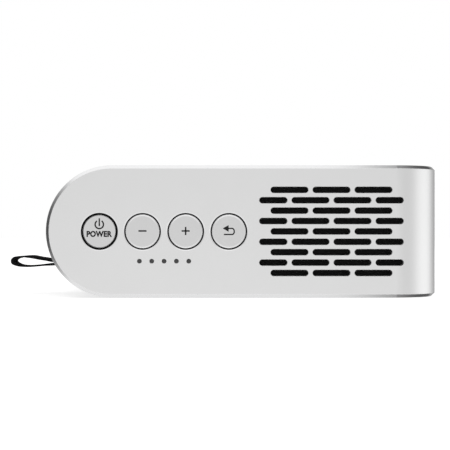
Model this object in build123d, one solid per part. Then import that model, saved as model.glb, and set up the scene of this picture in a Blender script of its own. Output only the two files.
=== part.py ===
from build123d import *
import os
from math import cos, degrees, pi, radians, sin

# A pocket LED projector. A flat body with a D-shaped rear lies between the arms of a bent metal stand, which
# turns on two hollow hubs at the centre of the D. Closed, the stand's crossbar covers the lens.
#
# Everything is drawn about the pivot: +X to the front, -Y to the button side, +Z up. Lengths are in mm and
# angles in degrees.

# --- stand: arms and crossbar -----------------------------------------------------------------------------
ARM_HEIGHT = 43.0
STAND_FRONT = 107.1          # pivot to the crossbar's outer face
STAND_WIDTH = 146.0
METAL_DEPTH = 6.0            # arm and crossbar, from outer to inner face
BEND_RADIUS = 14.5           # outside of the bend between arm and crossbar
EDGE_CHAMFER = 1.1
INNER_EDGE_CHAMFER = 0.3
ARM_RIM = 2.2                # metal left round the arm's pocket
KEY_SKIN = 1.6               # metal over the keypad
GRILLE_SKIN = 3.2            # metal that the grille slots run through
POCKET_FRONT = 95.4
POCKET_CORNER = 2.5
KEY_POCKET_END = 45.4
PLATE_THICKNESS = 1.2
PLATE_FIT = 0.1
CROSSBAR_SKIN = 2.5
CROSSBAR_MARGIN = (21.0, 4.5)  # metal left beside, and above and below, the crossbar's pocket
LINER_THICKNESS = 1.5
PAD_THICKNESS = 0.6

# --- speaker grille: staggered slots with round ends ------------------------------------------------------
GRILLE_CENTRE_X = 71.3
GRILLE_ROWS = 9
ROW_PITCH = 3.37
SLOT_HEIGHT = 1.98
SLOT_LONG = 12.2
SLOT_SHORT = 9.08
SLOT_GAP = 1.42
CLOTH_SIZE = (47.8, 34.0)
CLOTH_THICKNESS = 0.4
WINDOW_SIZE = (42.0, 28.0)
WINDOW_CORNER = 4.0
WINDOW_RIB = 2.0

# --- keypad: buttons from the outer face inwards ----------------------------------------------------------
FIRST_BUTTON_X = -4.0
BUTTON_PITCH = 14.0
BUTTON_NAMES = ("power_button", "minus_button", "plus_button", "back_button")
BUTTON_HOLE_RADIUS = 5.95
BUTTON_RADIUS = 5.7
BUTTON_BEVEL = 0.35
FLANGE_RADIUS = 6.5
FLANGE_THICKNESS = 0.5
FLANGE_PLAY = 0.1            # below the skin, or below the power button's ring
PLUNGER_RADIUS = 1.6
RING_OUTER_RADIUS = 5.9
RING_INNER_RADIUS = 5.32
RING_FLANGE_RADIUS = 6.9
RING_FLANGE = 0.3
RING_PLAY = 0.14             # between the power button's side and its ring
BUTTON_TRAVEL = 0.4
BOARD_DEPTH = 3.4            # keypad board's outer face, below the arm's outer face
BOARD_THICKNESS = 0.8
DOME_RADIUS = 2.6
DOME_HEIGHT = 0.35
DOME_LIP = 0.12              # dome's top to the plunger at full travel
KEYPAD_BOARD_X = (-9.0, 44.0)
KEYPAD_BOARD_HEIGHT = 24.0
INDICATOR_COUNT = 5
FIRST_INDICATOR_X = 9.0
INDICATOR_PITCH = 4.0
INDICATOR_Z = -9.65
INDICATOR_RADIUS = 0.72
INDICATOR_FIT = 0.04
INDICATOR_CHIP = (1.6, 0.8, 0.5)
PIPE_BAR_HEIGHT = 2.6
PIPE_BAR_THICKNESS = 0.9

# --- arm screws -------------------------------------------------------------------------------------------
ARM_BOSS_X = (47.0, 92.3)
ARM_BOSS_INSET = 2.1         # boss centre to the pocket's edge
REAR_BOSS_ANGLE = 45.0       # above and below the rearward direction
ARM_BOSS_RADIUS = 2.2
ARM_SCREW_RADIUS = 0.8
ARM_SCREW_HEAD = (1.6, 0.7)  # radius, height
ARM_SCREW_LENGTH = 2.6
SCREW_FIT = 0.05

# --- pivot hubs -------------------------------------------------------------------------------------------
HUB_RADIUS = 5.5
HUB_BORE_RADIUS = 3.0
HUB_SHOULDER_RADIUS = 6.6
HUB_FLANGE_RADIUS = 9.0
HUB_FLANGE = 0.6
HUB_FIT = 0.05
HUB_REACH = 11.6             # from the arm's outer face to the hub's inner end
BUSH_RADIUS = 7.5
BUSH_FLANGE_RADIUS = 8.6
BUSH_FLANGE = 0.5
GROOVE_DEPTH = 0.7
RING_WIDTH = 0.7
RETAINING_RING_RADIUS = 6.9
WASHER_RADII = (7.0, 10.5)
WASHER_THICKNESS = 0.4
CABLE_RADIUS = 1.2
CABLE_REACH = 13.0           # from the arm's outer face to the socket
SOCKET_SIZE = (7.0, 6.0)     # along X and Y
SOCKET_RISE = 1.0            # above the cable

# --- body -------------------------------------------------------------------------------------------------
SIDE_GAP = 0.5               # body to arm
BODY_DROP = 1.25             # body's top and bottom below the arm's edges
FRONT_GAP = 3.0              # crossbar's inner face to the body's front
BODY_CORNER = 8.0
BODY_EDGE = 1.5
WALL = 1.8
LIP_HEIGHT = 1.5
LIP_FIT = 0.1
FOOT_RADIUS = 4.5
FOOT_RECESS = 0.8
FOOT_CLEARANCE = 0.4         # arms' lower edges above the surface that the feet stand on
FOOT_X = (20.0, 86.0)
FOOT_INSET = 12.5            # foot centre to the body's side

# --- front panel and lens ---------------------------------------------------------------------------------
PANEL_MARGIN = (10.5, 2.75)  # body's side and top to the panel's edge
PANEL_CORNER = 4.0
PANEL_FIT = 0.1
PANEL_LIP = 1.2
LENS_Y = -24.0
LENS_MARGIN = 0.5            # trim ring to the panel's upper edge
HOOD_BACK_FIT = 0.88         # hood's back to the barrel
HOOD_LENGTH = 3.4
TRIM_WIDTH = 1.0
SLEEVE_WALL = 1.8
SLEEVE_X = (69.0, 90.0)
SLEEVE_FLANGE = 2.0
SLEEVE_FLANGE_FIT = 0.45     # flange to the top cover
BARREL_FIT = 0.08
BARREL_X = (73.0, 90.6)
BARREL_TRAVEL = 2.5
BARREL_WALL = 1.3
BARREL_KEY = (2.0, 1.4, 5.0)  # width, height above the barrel, length
KEY_FIT = 0.12
KEY_END_FIT = 0.5
FRONT_GLASS = (1.2, 2.6, 0.9)  # behind the rim, edge thickness, bulge
REAR_GLASS = (10.5, 1.6, 1.2)
FOCUS_RING_X = (80.0, 85.0)
FOCUS_RING_DEPTH = 5.62      # from its bore to the tips of its teeth
FOCUS_RING_FIT = 0.08
FOCUS_TOP = 0.85             # focus ring's reach above the body's top
FOCUS_FLOOR = 3.35           # focus ring to the bottom cover's floor
FOCUS_TEETH = 48
FOCUS_TOOTH_DEPTH = 0.45
FOCUS_TOOTH = (0.3, 0.16)    # half a tooth at its root and at its tip, as a share of the pitch
FOCUS_HOLES = 6
FOCUS_HOLE_RADIUS = 1.1
FOCUS_SLOT_FIT = 0.6
WINDOW_Y = 2.0
WINDOW_RADIUS = 2.6

# --- fan, heat sink and vents -----------------------------------------------------------------------------
FAN_ROOM = 1.9               # between the fan and the top cover
FAN_CORNER = 2.5
FAN_DEPTH = 10.0
FAN_Y = 26.5
FAN_FRONT_X = 94.4
FAN_WALL = 1.1
FAN_HOLE_INSET = 2.9
FAN_HOLE_RADIUS = 1.3
FAN_ARMS = 4
FAN_ARM = (2.0, 1.5)         # width, depth
FAN_ARM_ANGLE = 20.0
IMPELLER_FIT = 0.5
IMPELLER_SETBACK = (2.0, 0.8)  # from the housing's back and front
FAN_HUB_RADIUS = 7.5
FAN_BLADES = 7
BLADE_PITCH_ANGLE = 38.0
BLADE_THICKNESS = 0.9
BLADE_CHORD = 9.0
BLADE_ROOT = 2.0             # a blade's start, from the fan's axis
FAN_PIN_RADIUS = 1.0
FAN_PIN_FIT = 0.06
FAN_PIN_END = (2.0, 1.5)     # the pin's end and its bore's end, behind the housing's front
FRONT_VENTS = 10
FRONT_VENT_PITCH = 3.6
FRONT_VENT = (24.0, 1.9)
FRONT_VENT_Z = -0.5
FINS = 12
FIN_THICKNESS = 0.6
FIN_PITCH = 2.9
SINK_X = (56.0, 80.0)
SINK_Y = 9.0
SINK_ROOM = 3.45             # above the fins and below them
SINK_RAIL = 2.0
SINK_PLATE = 0.8
HEAT_PIPE_RADIUS = 2.5
HEAT_PIPE_Y = -1.8
HEAT_PIPE_Z = 7.5
HEAT_PIPE_BEND = 9.0
HEAT_PIPE_FIT = 0.05
HEAT_PIPE_STUB = 2.0         # past the spreader
BOTTOM_VENTS = 8
BOTTOM_VENT_PITCH = 4.2
BOTTOM_VENT = (22.0, 1.8)
FIRST_BOTTOM_VENT = 4.0      # from the first fin

# --- light engine -----------------------------------------------------------------------------------------
ENGINE_X = (25.0, 69.0)
ENGINE_Y = (-44.0, -8.0)
ENGINE_ROOM = (5.45, 4.45)   # below and above the engine
ENGINE_CHAMFER = 3.0
ENGINE_BORE = (2.4, 12.0)    # the light's way to the lens: its radius below the sleeve's, and its depth
ENGINE_POST_INSET = 5.0
LED_BOARD = (13.0, 15.0, 1.6)
LED_PLACES_X = (36.0, 51.0)
LED_LENS_RADIUS = 3.0
LED_LENS_LENGTH = 2.5
LED_HOLE_FIT = 0.5
LED_HOLE_DEPTH = 4.0
LED_Z = 5.0
SPREADER_X = (28.0, 54.0)
SPREADER_DEPTH = 8.0
SPREADER_Z = (1.0, 12.5)
IMAGER_BOARD = (34.0, 22.0, 1.2)

# --- boards, battery, speakers ----------------------------------------------------------------------------
MAIN_BOARD_FRONT = 15.0
MAIN_BOARD_ROOM = 7.7        # board's end to the cover's inner side
MAIN_BOARD_CORNER = 1.5
MAIN_BOARD_TOP = -4.0
MAIN_BOARD_THICKNESS = 1.6
BOARD_POSTS = ((-4.0, 4.0), (11.5, 8.0))  # x, and distance from the board's end
POST_RADIUS = 2.3
BATTERY_X = (17.5, 43.0)
BATTERY_Y = 9.0              # the battery's inner side
BATTERY_ROOM = (7.2, 6.9)    # beside it and above it
BATTERY_CORNER = 2.5
SPEAKER_X = (50.0, 93.0)
SPEAKER_ROOM = 5.2           # speaker box to the light engine
SPEAKER_CONE = (13.0, 4.0)   # radius and depth
SPEAKER_CAP = (4.4, 3.0, 1.5)  # radius, and its top and bottom below the cone's rim
SPEAKER_FIT = 0.1
BODY_WINDOW = (34.0, 27.0)
MESH_BORDER = 1.5
MESH_THICKNESS = 0.6

# --- rear port bay ----------------------------------------------------------------------------------------
FLAP_THICKNESS = 1.4
FLAP_HALF_WIDTH = 52.0
FLAP_TOP_ANGLE = 27.0        # above the rearward direction
FLAP_BOTTOM_ANGLE = -43.0
FLAP_FIT = 0.15
FLAP_LIP = 1.4               # seat under the flap at its two ends
FLAP_SEAT_ANGLES = (3.0, 2.0)  # seat under its top and bottom edges
BAY_DEPTH = 1.0              # how far the bay is cut below the skin
HINGE_NOTCH = 0.12
ANCHOR_ANGLE = 7.0
BAY_CLEARANCE = 1.05         # the strap's folded end to the port panel
PORT_PANEL_THICKNESS = 1.3
BAY_RIB = 1.2
PORT_FIT = 0.1
PORT_BACK = 1.5              # a socket's back wall
PORT_ROW_INSETS = (18.7, 2.8)  # the row's two ends, from the flap's ends
POWER_JACK = (8.6, 8.0, 9.0)  # each socket's width, height and depth
POWER_JACK_BORE = 2.75
HDMI_PORT = (15.2, 6.0, 11.0)
HDMI_MOUTH = (13.9, 4.5, 0.8)
HDMI_TONGUE = (11.4, 1.1, 0.8)  # width, height, and its tip behind the mouth
USB_A_PORT = (14.4, 7.0, 12.0)
USB_A_MOUTH = (12.5, 5.1)
USB_A_TONGUE = (11.0, 1.6, 0.8)
USB_A_TONGUE_RISE = 0.9
USB_C_PORT = (9.6, 3.9, 8.0)
USB_C_MOUTH = (8.4, 2.7)
USB_C_TONGUE = (6.4, 0.7, 0.6)
AUDIO_JACK = (6.6, 6.2, 11.0)
AUDIO_JACK_BORE = 1.8
CARD_SLOT = (12.4, 2.0, 12.0)
CARD_MOUTH = (11.2, 0.9)

# --- pull strap -------------------------------------------------------------------------------------------
STRAP_REACH = 37.4           # pivot to the loop's tip
STRAP_INSET = 7.0            # strap's middle to the flap's end
STRAP_WIDTH = 8.5
STRAP_THICKNESS = 0.9
STRAP_ANGLE = 30.738         # the strap's slot, below the rearward direction
STRAP_TIP_RADIUS = 2.05
STRAP_ROOT_RADIUS = 1.25
STRAP_END = (1.0, 3.4, 10.0)   # the folded end behind the flap: along X, Z and Y
STRAP_JOIN = 0.4             # how far the loop reaches into its folded end
STRAP_FIT = 0.2

# --- fasteners and tripod insert --------------------------------------------------------------------------
SIDE_SCREW_X = (12.0, 46.6)
SIDE_SCREW_INSET = 3.7       # screw to the cover's inner side
FRONT_SCREW = (9.1, 1.5)     # behind the body's front, and along Y
SCREW_POST_RADIUS = 2.9
SCREW_RADIUS = 1.0
SCREW_HEAD = (1.8, 1.5)
SCREW_ACCESS_RADIUS = 2.0
SCREW_SEAT_Z = -6.0
SCREW_LENGTH = 12.0
INSERT_X = 36.0
INSERT_RADIUS = 5.0
INSERT_BORE_RADIUS = 2.55    # a quarter-inch tripod thread's inner wall
INSERT_LENGTH = 7.0
INSERT_WALL = 1.6

# --- worked out -------------------------------------------------------------------------------------------
ARM_RADIUS = ARM_HEIGHT / 2
HALF_WIDTH = STAND_WIDTH / 2
INNER_FACE_Y = HALF_WIDTH - METAL_DEPTH
CROSSBAR_INNER_X = STAND_FRONT - METAL_DEPTH
PLATE_DEPTH = METAL_DEPTH - PLATE_THICKNESS
BODY_RADIUS = ARM_RADIUS - BODY_DROP
BODY_HALF = INNER_FACE_Y - SIDE_GAP
BODY_FRONT = CROSSBAR_INNER_X - FRONT_GAP
INNER_RADIUS = BODY_RADIUS - WALL
INNER_HALF = BODY_HALF - WALL
FOOT_BOTTOM = -ARM_RADIUS - FOOT_CLEARANCE
CROSSBAR_POCKET = (STAND_WIDTH - 2 * CROSSBAR_MARGIN[0], ARM_HEIGHT - 2 * CROSSBAR_MARGIN[1])
PANEL_SIZE = (2 * (BODY_HALF - PANEL_MARGIN[0]), 2 * (BODY_RADIUS - PANEL_MARGIN[1]))
FOCUS_RADIUS = (BODY_RADIUS + FOCUS_TOP + INNER_RADIUS - FOCUS_FLOOR) / 2
LENS_Z = BODY_RADIUS + FOCUS_TOP - FOCUS_RADIUS
SLEEVE_RADIUS = FOCUS_RADIUS - FOCUS_RING_DEPTH - FOCUS_RING_FIT
SLEEVE_RADII = (SLEEVE_RADIUS - SLEEVE_WALL, SLEEVE_RADIUS)
BARREL_RADIUS = SLEEVE_RADII[0] - BARREL_FIT
HOOD_RADIUS = PANEL_SIZE[1] / 2 - LENS_MARGIN - TRIM_WIDTH - LENS_Z
HOOD_BACK_RADIUS = BARREL_RADIUS + HOOD_BACK_FIT
PAD_RADIUS = HOOD_RADIUS + TRIM_WIDTH
FAN_SIZE = 2 * INNER_RADIUS - FAN_ROOM
FAN_BORE_RADIUS = FAN_SIZE / 2 - FAN_WALL
IMPELLER_RADIUS = FAN_BORE_RADIUS - IMPELLER_FIT
SINK_HEIGHT = 2 * (INNER_RADIUS - SINK_ROOM)
ENGINE_Z = (ENGINE_ROOM[0] - INNER_RADIUS, INNER_RADIUS - ENGINE_ROOM[1])
MAIN_BOARD_HALF = INNER_HALF - MAIN_BOARD_ROOM
STRAP_Y = STRAP_INSET - FLAP_HALF_WIDTH
STRAP_Z = -BODY_RADIUS * sin(radians(STRAP_ANGLE))
STRAP_END_LOW = STRAP_Z - STRAP_END[1] / 2
STRAP_END_X = FLAP_FIT - ((BODY_RADIUS - FLAP_THICKNESS) ** 2 - STRAP_END_LOW ** 2) ** 0.5
PORT_PLANE_X = STRAP_END_X + STRAP_END[0] + BAY_CLEARANCE
MAIN_BOARD_X = (PORT_PLANE_X + PORT_PANEL_THICKNESS, MAIN_BOARD_FRONT)
PIVOT_X = (STRAP_REACH - STAND_FRONT) / 2
PIVOT_Z = -FOOT_BOTTOM
FAR = 400.0                  # longer than anything that is cut
SIDES = {"near": -1, "far": 1}


# --- helpers ----------------------------------------------------------------------------------------------
def slab(outline, y_from, y_to):
    """An XZ outline made solid between two values of y."""
    low, high = min(y_from, y_to), max(y_from, y_to)
    return extrude(Plane.XZ.offset(-high) * outline, amount=high - low)


def arm_slab(outline, side, depth_from, depth_to):
    """An XZ outline made solid between two depths below one arm's outer face."""
    return slab(outline, side * (HALF_WIDTH - depth_from), side * (HALF_WIDTH - depth_to))


def upright(outline, z_from, z_to):
    """An XY outline made solid between two heights."""
    return extrude(Plane.XY.offset(z_from) * outline, amount=z_to - z_from)


def along_x(outline, x_from, x_to):
    """A YZ outline made solid between two values of x."""
    return extrude(Plane.YZ.offset(x_from) * outline, amount=x_to - x_from)


def block(x_span, y_span, z_span):
    """A box between three pairs of values."""
    size = [span[1] - span[0] for span in (x_span, y_span, z_span)]
    centre = [(span[1] + span[0]) / 2 for span in (x_span, y_span, z_span)]
    return Pos(*centre) * Box(*size)


def d_outline(radius, front):
    """A half disc about the pivot, carried forward as a bar."""
    return Pos(front / 2, 0) * Rectangle(front, 2 * radius) + Circle(radius)


def plan_outline(half_width, front, corner):
    """The object from above: open to the rear, with both front corners rounded."""
    outline = Pos((front - FAR) / 2, 0) * Rectangle(front + FAR, 2 * half_width)
    return fillet(outline.vertices().group_by(Axis.X)[-1], corner)


def rounded(width, height, corner):
    """A rectangle with rounded corners."""
    return RectangleRounded(width, height, corner)


def rear_arc(outer, inner, top_angle, bottom_angle):
    """Part of a ring about the pivot, between two angles above the rearward direction."""
    start, sweep_angle = 180 - top_angle, top_angle - bottom_angle
    end = start + sweep_angle
    edges = [
        CenterArc((0, 0), outer, start, sweep_angle),
        Line((outer * cos(radians(end)), outer * sin(radians(end))),
             (inner * cos(radians(end)), inner * sin(radians(end)))),
        CenterArc((0, 0), inner, start, sweep_angle),
        Line((outer * cos(radians(start)), outer * sin(radians(start))),
             (inner * cos(radians(start)), inner * sin(radians(start)))),
    ]
    return make_face(edges)


def body_form(inset):
    """The body's outer form, taken in by inset on every side."""
    front, radius = BODY_FRONT - inset, BODY_RADIUS - inset
    half, corner = BODY_HALF - inset, BODY_CORNER - inset
    form = slab(d_outline(radius, front), -half, half)
    form &= upright(plan_outline(half, front, corner), -FAR, FAR)
    edge = BODY_EDGE - inset
    if edge > 0:
        rims = [e for e in form.edges() if not seam(e)]
        form = fillet(rims, edge)
    return form


def seam(edge):
    """True for the smooth joins of the form: upright lines, and the cross lines where the D begins."""
    start, end = edge.start_point(), edge.end_point()
    is_upright = abs(start.X - end.X) < 1e-6 and abs(start.Y - end.Y) < 1e-6
    is_cross = abs(start.X) < 1e-6 and abs(end.X) < 1e-6 and abs(start.Z - end.Z) < 1e-6
    return is_upright or is_cross


def grille_slots():
    """Rows of slots by turns: three long ones, then short, long, long and short."""
    pitch = SLOT_LONG + SLOT_GAP
    short_offset = pitch + (SLOT_SHORT + SLOT_GAP) / 2
    rows = ([(-pitch, SLOT_LONG), (0, SLOT_LONG), (pitch, SLOT_LONG)],
            [(-short_offset, SLOT_SHORT), (-pitch / 2, SLOT_LONG), (pitch / 2, SLOT_LONG),
             (short_offset, SLOT_SHORT)])
    slots = []
    for row in range(GRILLE_ROWS):
        z = (row - (GRILLE_ROWS - 1) / 2) * ROW_PITCH
        for x, length in rows[row % 2]:
            slots.append(Pos(GRILLE_CENTRE_X + x, z) * SlotOverall(length, SLOT_HEIGHT))
    return slots


def button_x(index):
    return FIRST_BUTTON_X + index * BUTTON_PITCH


def indicator_x(index):
    return FIRST_INDICATOR_X + index * INDICATOR_PITCH


def boss_places():
    """The arm's screw bosses: two pairs along the bar and one pair on the half disc."""
    reach, angle = ARM_RADIUS - ARM_RIM - ARM_BOSS_INSET, radians(REAR_BOSS_ANGLE)
    places = [(x, reach) for x in ARM_BOSS_X] + [(-reach * cos(angle), reach * sin(angle))]
    return [(x, z * up) for x, z in places for up in (-1, 1)]


# --- stand ------------------------------------------------------------------------------------------------
def stand_envelope():
    """The solid that the stand is bent from: its outer form and the space inside it."""
    outer = slab(d_outline(ARM_RADIUS, STAND_FRONT), -HALF_WIDTH, HALF_WIDTH)
    outer &= upright(plan_outline(HALF_WIDTH, STAND_FRONT, BEND_RADIUS), -FAR, FAR)
    outer = chamfer([e for e in outer.edges() if not seam(e)], EDGE_CHAMFER)
    inner = upright(plan_outline(INNER_FACE_Y, CROSSBAR_INNER_X, BEND_RADIUS - METAL_DEPTH), -FAR, FAR)
    return outer - inner


def pocket_outline(front, inset=0.0):
    """The arm's pocket: the D shape inside its rim, with rounded front corners."""
    outline = d_outline(ARM_RADIUS - ARM_RIM - inset, front - inset)
    return fillet(outline.vertices().group_by(Axis.X)[-1], POCKET_CORNER)


def make_stand_frame():
    frame = stand_envelope()
    for side in SIDES.values():
        frame -= arm_slab(pocket_outline(POCKET_FRONT), side, GRILLE_SKIN, FAR / 4)
        frame -= arm_slab(pocket_outline(KEY_POCKET_END), side, KEY_SKIN, GRILLE_SKIN)
        frame -= [arm_slab(slot, side, -1, GRILLE_SKIN + 1) for slot in grille_slots()]
        for x, z in boss_places():
            frame += arm_slab(Pos(x, z) * Circle(ARM_BOSS_RADIUS), side, KEY_SKIN / 2, PLATE_DEPTH)
        hole = Circle(ARM_SCREW_RADIUS + SCREW_FIT)
        for x, z in boss_places():
            frame -= arm_slab(Pos(x, z) * hole, side, KEY_SKIN, FAR / 4)
    near = SIDES["near"]
    for index in range(len(BUTTON_NAMES)):
        frame -= arm_slab(Pos(button_x(index), 0) * Circle(BUTTON_HOLE_RADIUS), near, -1, GRILLE_SKIN)
    for index in range(INDICATOR_COUNT):
        hole = Circle(INDICATOR_RADIUS + INDICATOR_FIT)
        frame -= arm_slab(Pos(indicator_x(index), INDICATOR_Z) * hole, near, -1, GRILLE_SKIN)
    pocket = rounded(*CROSSBAR_POCKET, POCKET_CORNER)
    frame -= along_x(pocket, CROSSBAR_INNER_X - 1, STAND_FRONT - CROSSBAR_SKIN)
    return frame


def make_arm_plate(side):
    """The plate that closes one arm: it follows the arm's inner face and carries the hub."""
    plate = stand_envelope() & arm_slab(pocket_outline(POCKET_FRONT, PLATE_FIT), side, PLATE_DEPTH, FAR / 8)
    plate -= arm_slab(Circle(HUB_SHOULDER_RADIUS + HUB_FIT), side, PLATE_DEPTH - 1, FAR / 8)
    half_window = (WINDOW_SIZE[0] - WINDOW_RIB) / 2
    for step in (-1, 1):
        x = GRILLE_CENTRE_X + step * (half_window + WINDOW_RIB) / 2
        window = Pos(x, 0) * rounded(half_window, WINDOW_SIZE[1], WINDOW_CORNER)
        plate -= arm_slab(window, side, PLATE_DEPTH - 1, FAR / 8)
    for x, z in boss_places():
        plate -= arm_slab(Pos(x, z) * Circle(ARM_SCREW_RADIUS + SCREW_FIT), side, PLATE_DEPTH - 1, FAR / 8)
        head = Circle(ARM_SCREW_HEAD[0] + SCREW_FIT)
        plate -= arm_slab(Pos(x, z) * head, side, METAL_DEPTH - ARM_SCREW_HEAD[1], FAR / 8)
    return plate


def make_arm_plate_screws():
    screws = []
    for side in SIDES.values():
        seat = METAL_DEPTH - ARM_SCREW_HEAD[1]
        for x, z in boss_places():
            head = arm_slab(Pos(x, z) * Circle(ARM_SCREW_HEAD[0]), side, seat, METAL_DEPTH)
            shank = arm_slab(Pos(x, z) * Circle(ARM_SCREW_RADIUS), side, seat - ARM_SCREW_LENGTH, seat)
            screws.append(head + shank)
    return screws


def make_pivot_hub(side):
    """A hollow hub: its flange is under the arm plate, and its journal turns in the body's bush."""
    hub = arm_slab(Circle(HUB_FLANGE_RADIUS), side, PLATE_DEPTH - HUB_FLANGE, PLATE_DEPTH)
    hub += arm_slab(Circle(HUB_SHOULDER_RADIUS), side, PLATE_DEPTH, METAL_DEPTH)
    hub += arm_slab(Circle(HUB_RADIUS), side, METAL_DEPTH, HUB_REACH)
    groove = Circle(HUB_RADIUS + 1) - Circle(HUB_RADIUS - GROOVE_DEPTH)
    hub -= arm_slab(groove, side, ring_depth(), ring_depth() + RING_WIDTH + SCREW_FIT)
    return hub - arm_slab(Circle(HUB_BORE_RADIUS), side, 0, FAR / 8)


def bush_depth():
    """Depth of the bush flange's inner face below the arm's outer face."""
    return HALF_WIDTH - INNER_HALF + BUSH_FLANGE


def ring_depth():
    """Depth at which the hub's groove begins."""
    return bush_depth() + FLANGE_PLAY


def make_retaining_rings():
    ring = Circle(RETAINING_RING_RADIUS) - Circle(HUB_RADIUS - GROOVE_DEPTH + SCREW_FIT)
    return [arm_slab(ring, side, ring_depth(), ring_depth() + RING_WIDTH) for side in SIDES.values()]


def make_hinge_bushes():
    """Plastic bushes: each is held in the split bore of the body's side."""
    bushes = []
    for side in SIDES.values():
        bush = arm_slab(Circle(BUSH_RADIUS), side, METAL_DEPTH + SIDE_GAP, bush_depth())
        bush += arm_slab(Circle(BUSH_FLANGE_RADIUS), side, HALF_WIDTH - INNER_HALF, bush_depth())
        bushes.append(bush - arm_slab(Circle(HUB_RADIUS + HUB_FIT), side, 0, FAR / 8))
    return bushes


def make_friction_washers():
    ring = Circle(WASHER_RADII[1]) - Circle(WASHER_RADII[0])
    middle = METAL_DEPTH + SIDE_GAP
    return [arm_slab(ring, side, middle - WASHER_THICKNESS, middle) for side in SIDES.values()]


def make_grille_cloth():
    outline = Pos(GRILLE_CENTRE_X, 0) * rounded(*CLOTH_SIZE, POCKET_CORNER)
    posts = [Pos(x, z) * Circle(ARM_BOSS_RADIUS + FLAP_FIT) for x, z in boss_places()]
    back = GRILLE_SKIN + CLOTH_THICKNESS
    return [arm_slab(outline - posts, side, GRILLE_SKIN, back) for side in SIDES.values()]


def keypad_board_outline():
    low, high = KEYPAD_BOARD_X
    return Pos((low + high) / 2, 0) * rounded(high - low, KEYPAD_BOARD_HEIGHT, POCKET_CORNER)


def make_keypad_board():
    return arm_slab(keypad_board_outline(), SIDES["near"], BOARD_DEPTH, BOARD_DEPTH + BOARD_THICKNESS)


def make_dome_switches():
    """A snap dome under each button: a low cone with a flat top."""
    domes = []
    for index in range(len(BUTTON_NAMES)):
        y = -(HALF_WIDTH - BOARD_DEPTH)
        base = Plane((button_x(index), y, 0), x_dir=(1, 0, 0), z_dir=(0, -1, 0))
        domes.append(loft([base * Circle(DOME_RADIUS), base.offset(DOME_HEIGHT) * Circle(DOME_RADIUS / 2)]))
    return domes


def plunger_depth():
    """Depth of a button's plunger tip, which stops just short of the dome at full travel."""
    return BOARD_DEPTH - DOME_HEIGHT - DOME_LIP - BUTTON_TRAVEL


def make_button(index):
    """A round cap with a bevelled edge, a flange behind the metal, and a plunger."""
    near, at = SIDES["near"], Pos(button_x(index), 0)
    has_ring = index == 0
    radius = RING_INNER_RADIUS - RING_PLAY if has_ring else BUTTON_RADIUS
    flange = KEY_SKIN + FLANGE_PLAY + (RING_FLANGE if has_ring else 0.0)
    cap = arm_slab(at * Circle(radius), near, 0, flange)
    cap = chamfer(cap.faces().sort_by(Axis.Y)[0].edges(), BUTTON_BEVEL)
    button = cap + arm_slab(at * Circle(FLANGE_RADIUS), near, flange, flange + FLANGE_THICKNESS)
    return button + arm_slab(at * Circle(PLUNGER_RADIUS), near, flange, plunger_depth())


def make_power_button_ring():
    near, at = SIDES["near"], Pos(button_x(0), 0)
    ring = arm_slab(at * Circle(RING_OUTER_RADIUS), near, 0, KEY_SKIN)
    ring += arm_slab(at * Circle(RING_FLANGE_RADIUS), near, KEY_SKIN, KEY_SKIN + RING_FLANGE)
    return ring - arm_slab(at * Circle(RING_INNER_RADIUS), near, -1, GRILLE_SKIN)


def make_battery_light_pipes():
    """Five clear pins on one bar: they end flush in the arm's face."""
    near = SIDES["near"]
    middle = indicator_x((INDICATOR_COUNT - 1) / 2)
    length = (INDICATOR_COUNT - 1) * INDICATOR_PITCH + PIPE_BAR_HEIGHT
    bar = Pos(middle, INDICATOR_Z) * SlotOverall(length, PIPE_BAR_HEIGHT)
    pipes = arm_slab(bar, near, KEY_SKIN, KEY_SKIN + PIPE_BAR_THICKNESS)
    for index in range(INDICATOR_COUNT):
        pipes += arm_slab(Pos(indicator_x(index), INDICATOR_Z) * Circle(INDICATOR_RADIUS), near, 0, KEY_SKIN)
    return pipes


def make_indicator_leds():
    width, height, thickness = INDICATOR_CHIP
    top = BOARD_DEPTH - thickness
    places = [Pos(indicator_x(index), INDICATOR_Z) for index in range(INDICATOR_COUNT)]
    return [arm_slab(place * Rectangle(width, height), SIDES["near"], top, BOARD_DEPTH) for place in places]


def make_keypad_cable():
    """The jacketed cable from the keypad board, through the hub, to the socket on the main board."""
    return arm_slab(Circle(CABLE_RADIUS), SIDES["near"], BOARD_DEPTH + BOARD_THICKNESS, CABLE_REACH)


def make_crossbar_liner():
    width, height = (size - 2 * PLATE_FIT for size in CROSSBAR_POCKET)
    plate = rounded(width, height, POCKET_CORNER)
    liner = along_x(plate, CROSSBAR_INNER_X, CROSSBAR_INNER_X + LINER_THICKNESS)
    rim = plate - rounded(width - 2 * LINER_THICKNESS, height - 2 * LINER_THICKNESS, POCKET_CORNER / 2)
    return liner + along_x(rim, CROSSBAR_INNER_X, STAND_FRONT - CROSSBAR_SKIN)


def make_lens_pad():
    pad = Pos(LENS_Y, LENS_Z) * Circle(PAD_RADIUS)
    return along_x(pad, CROSSBAR_INNER_X - PAD_THICKNESS, CROSSBAR_INNER_X)


# --- body -------------------------------------------------------------------------------------------------
def below_parting(top=0.0):
    return block((-FAR, FAR), (-FAR, FAR), (-FAR, top))


def above_parting(bottom=0.0):
    return block((-FAR, FAR), (-FAR, FAR), (bottom, FAR))


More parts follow.
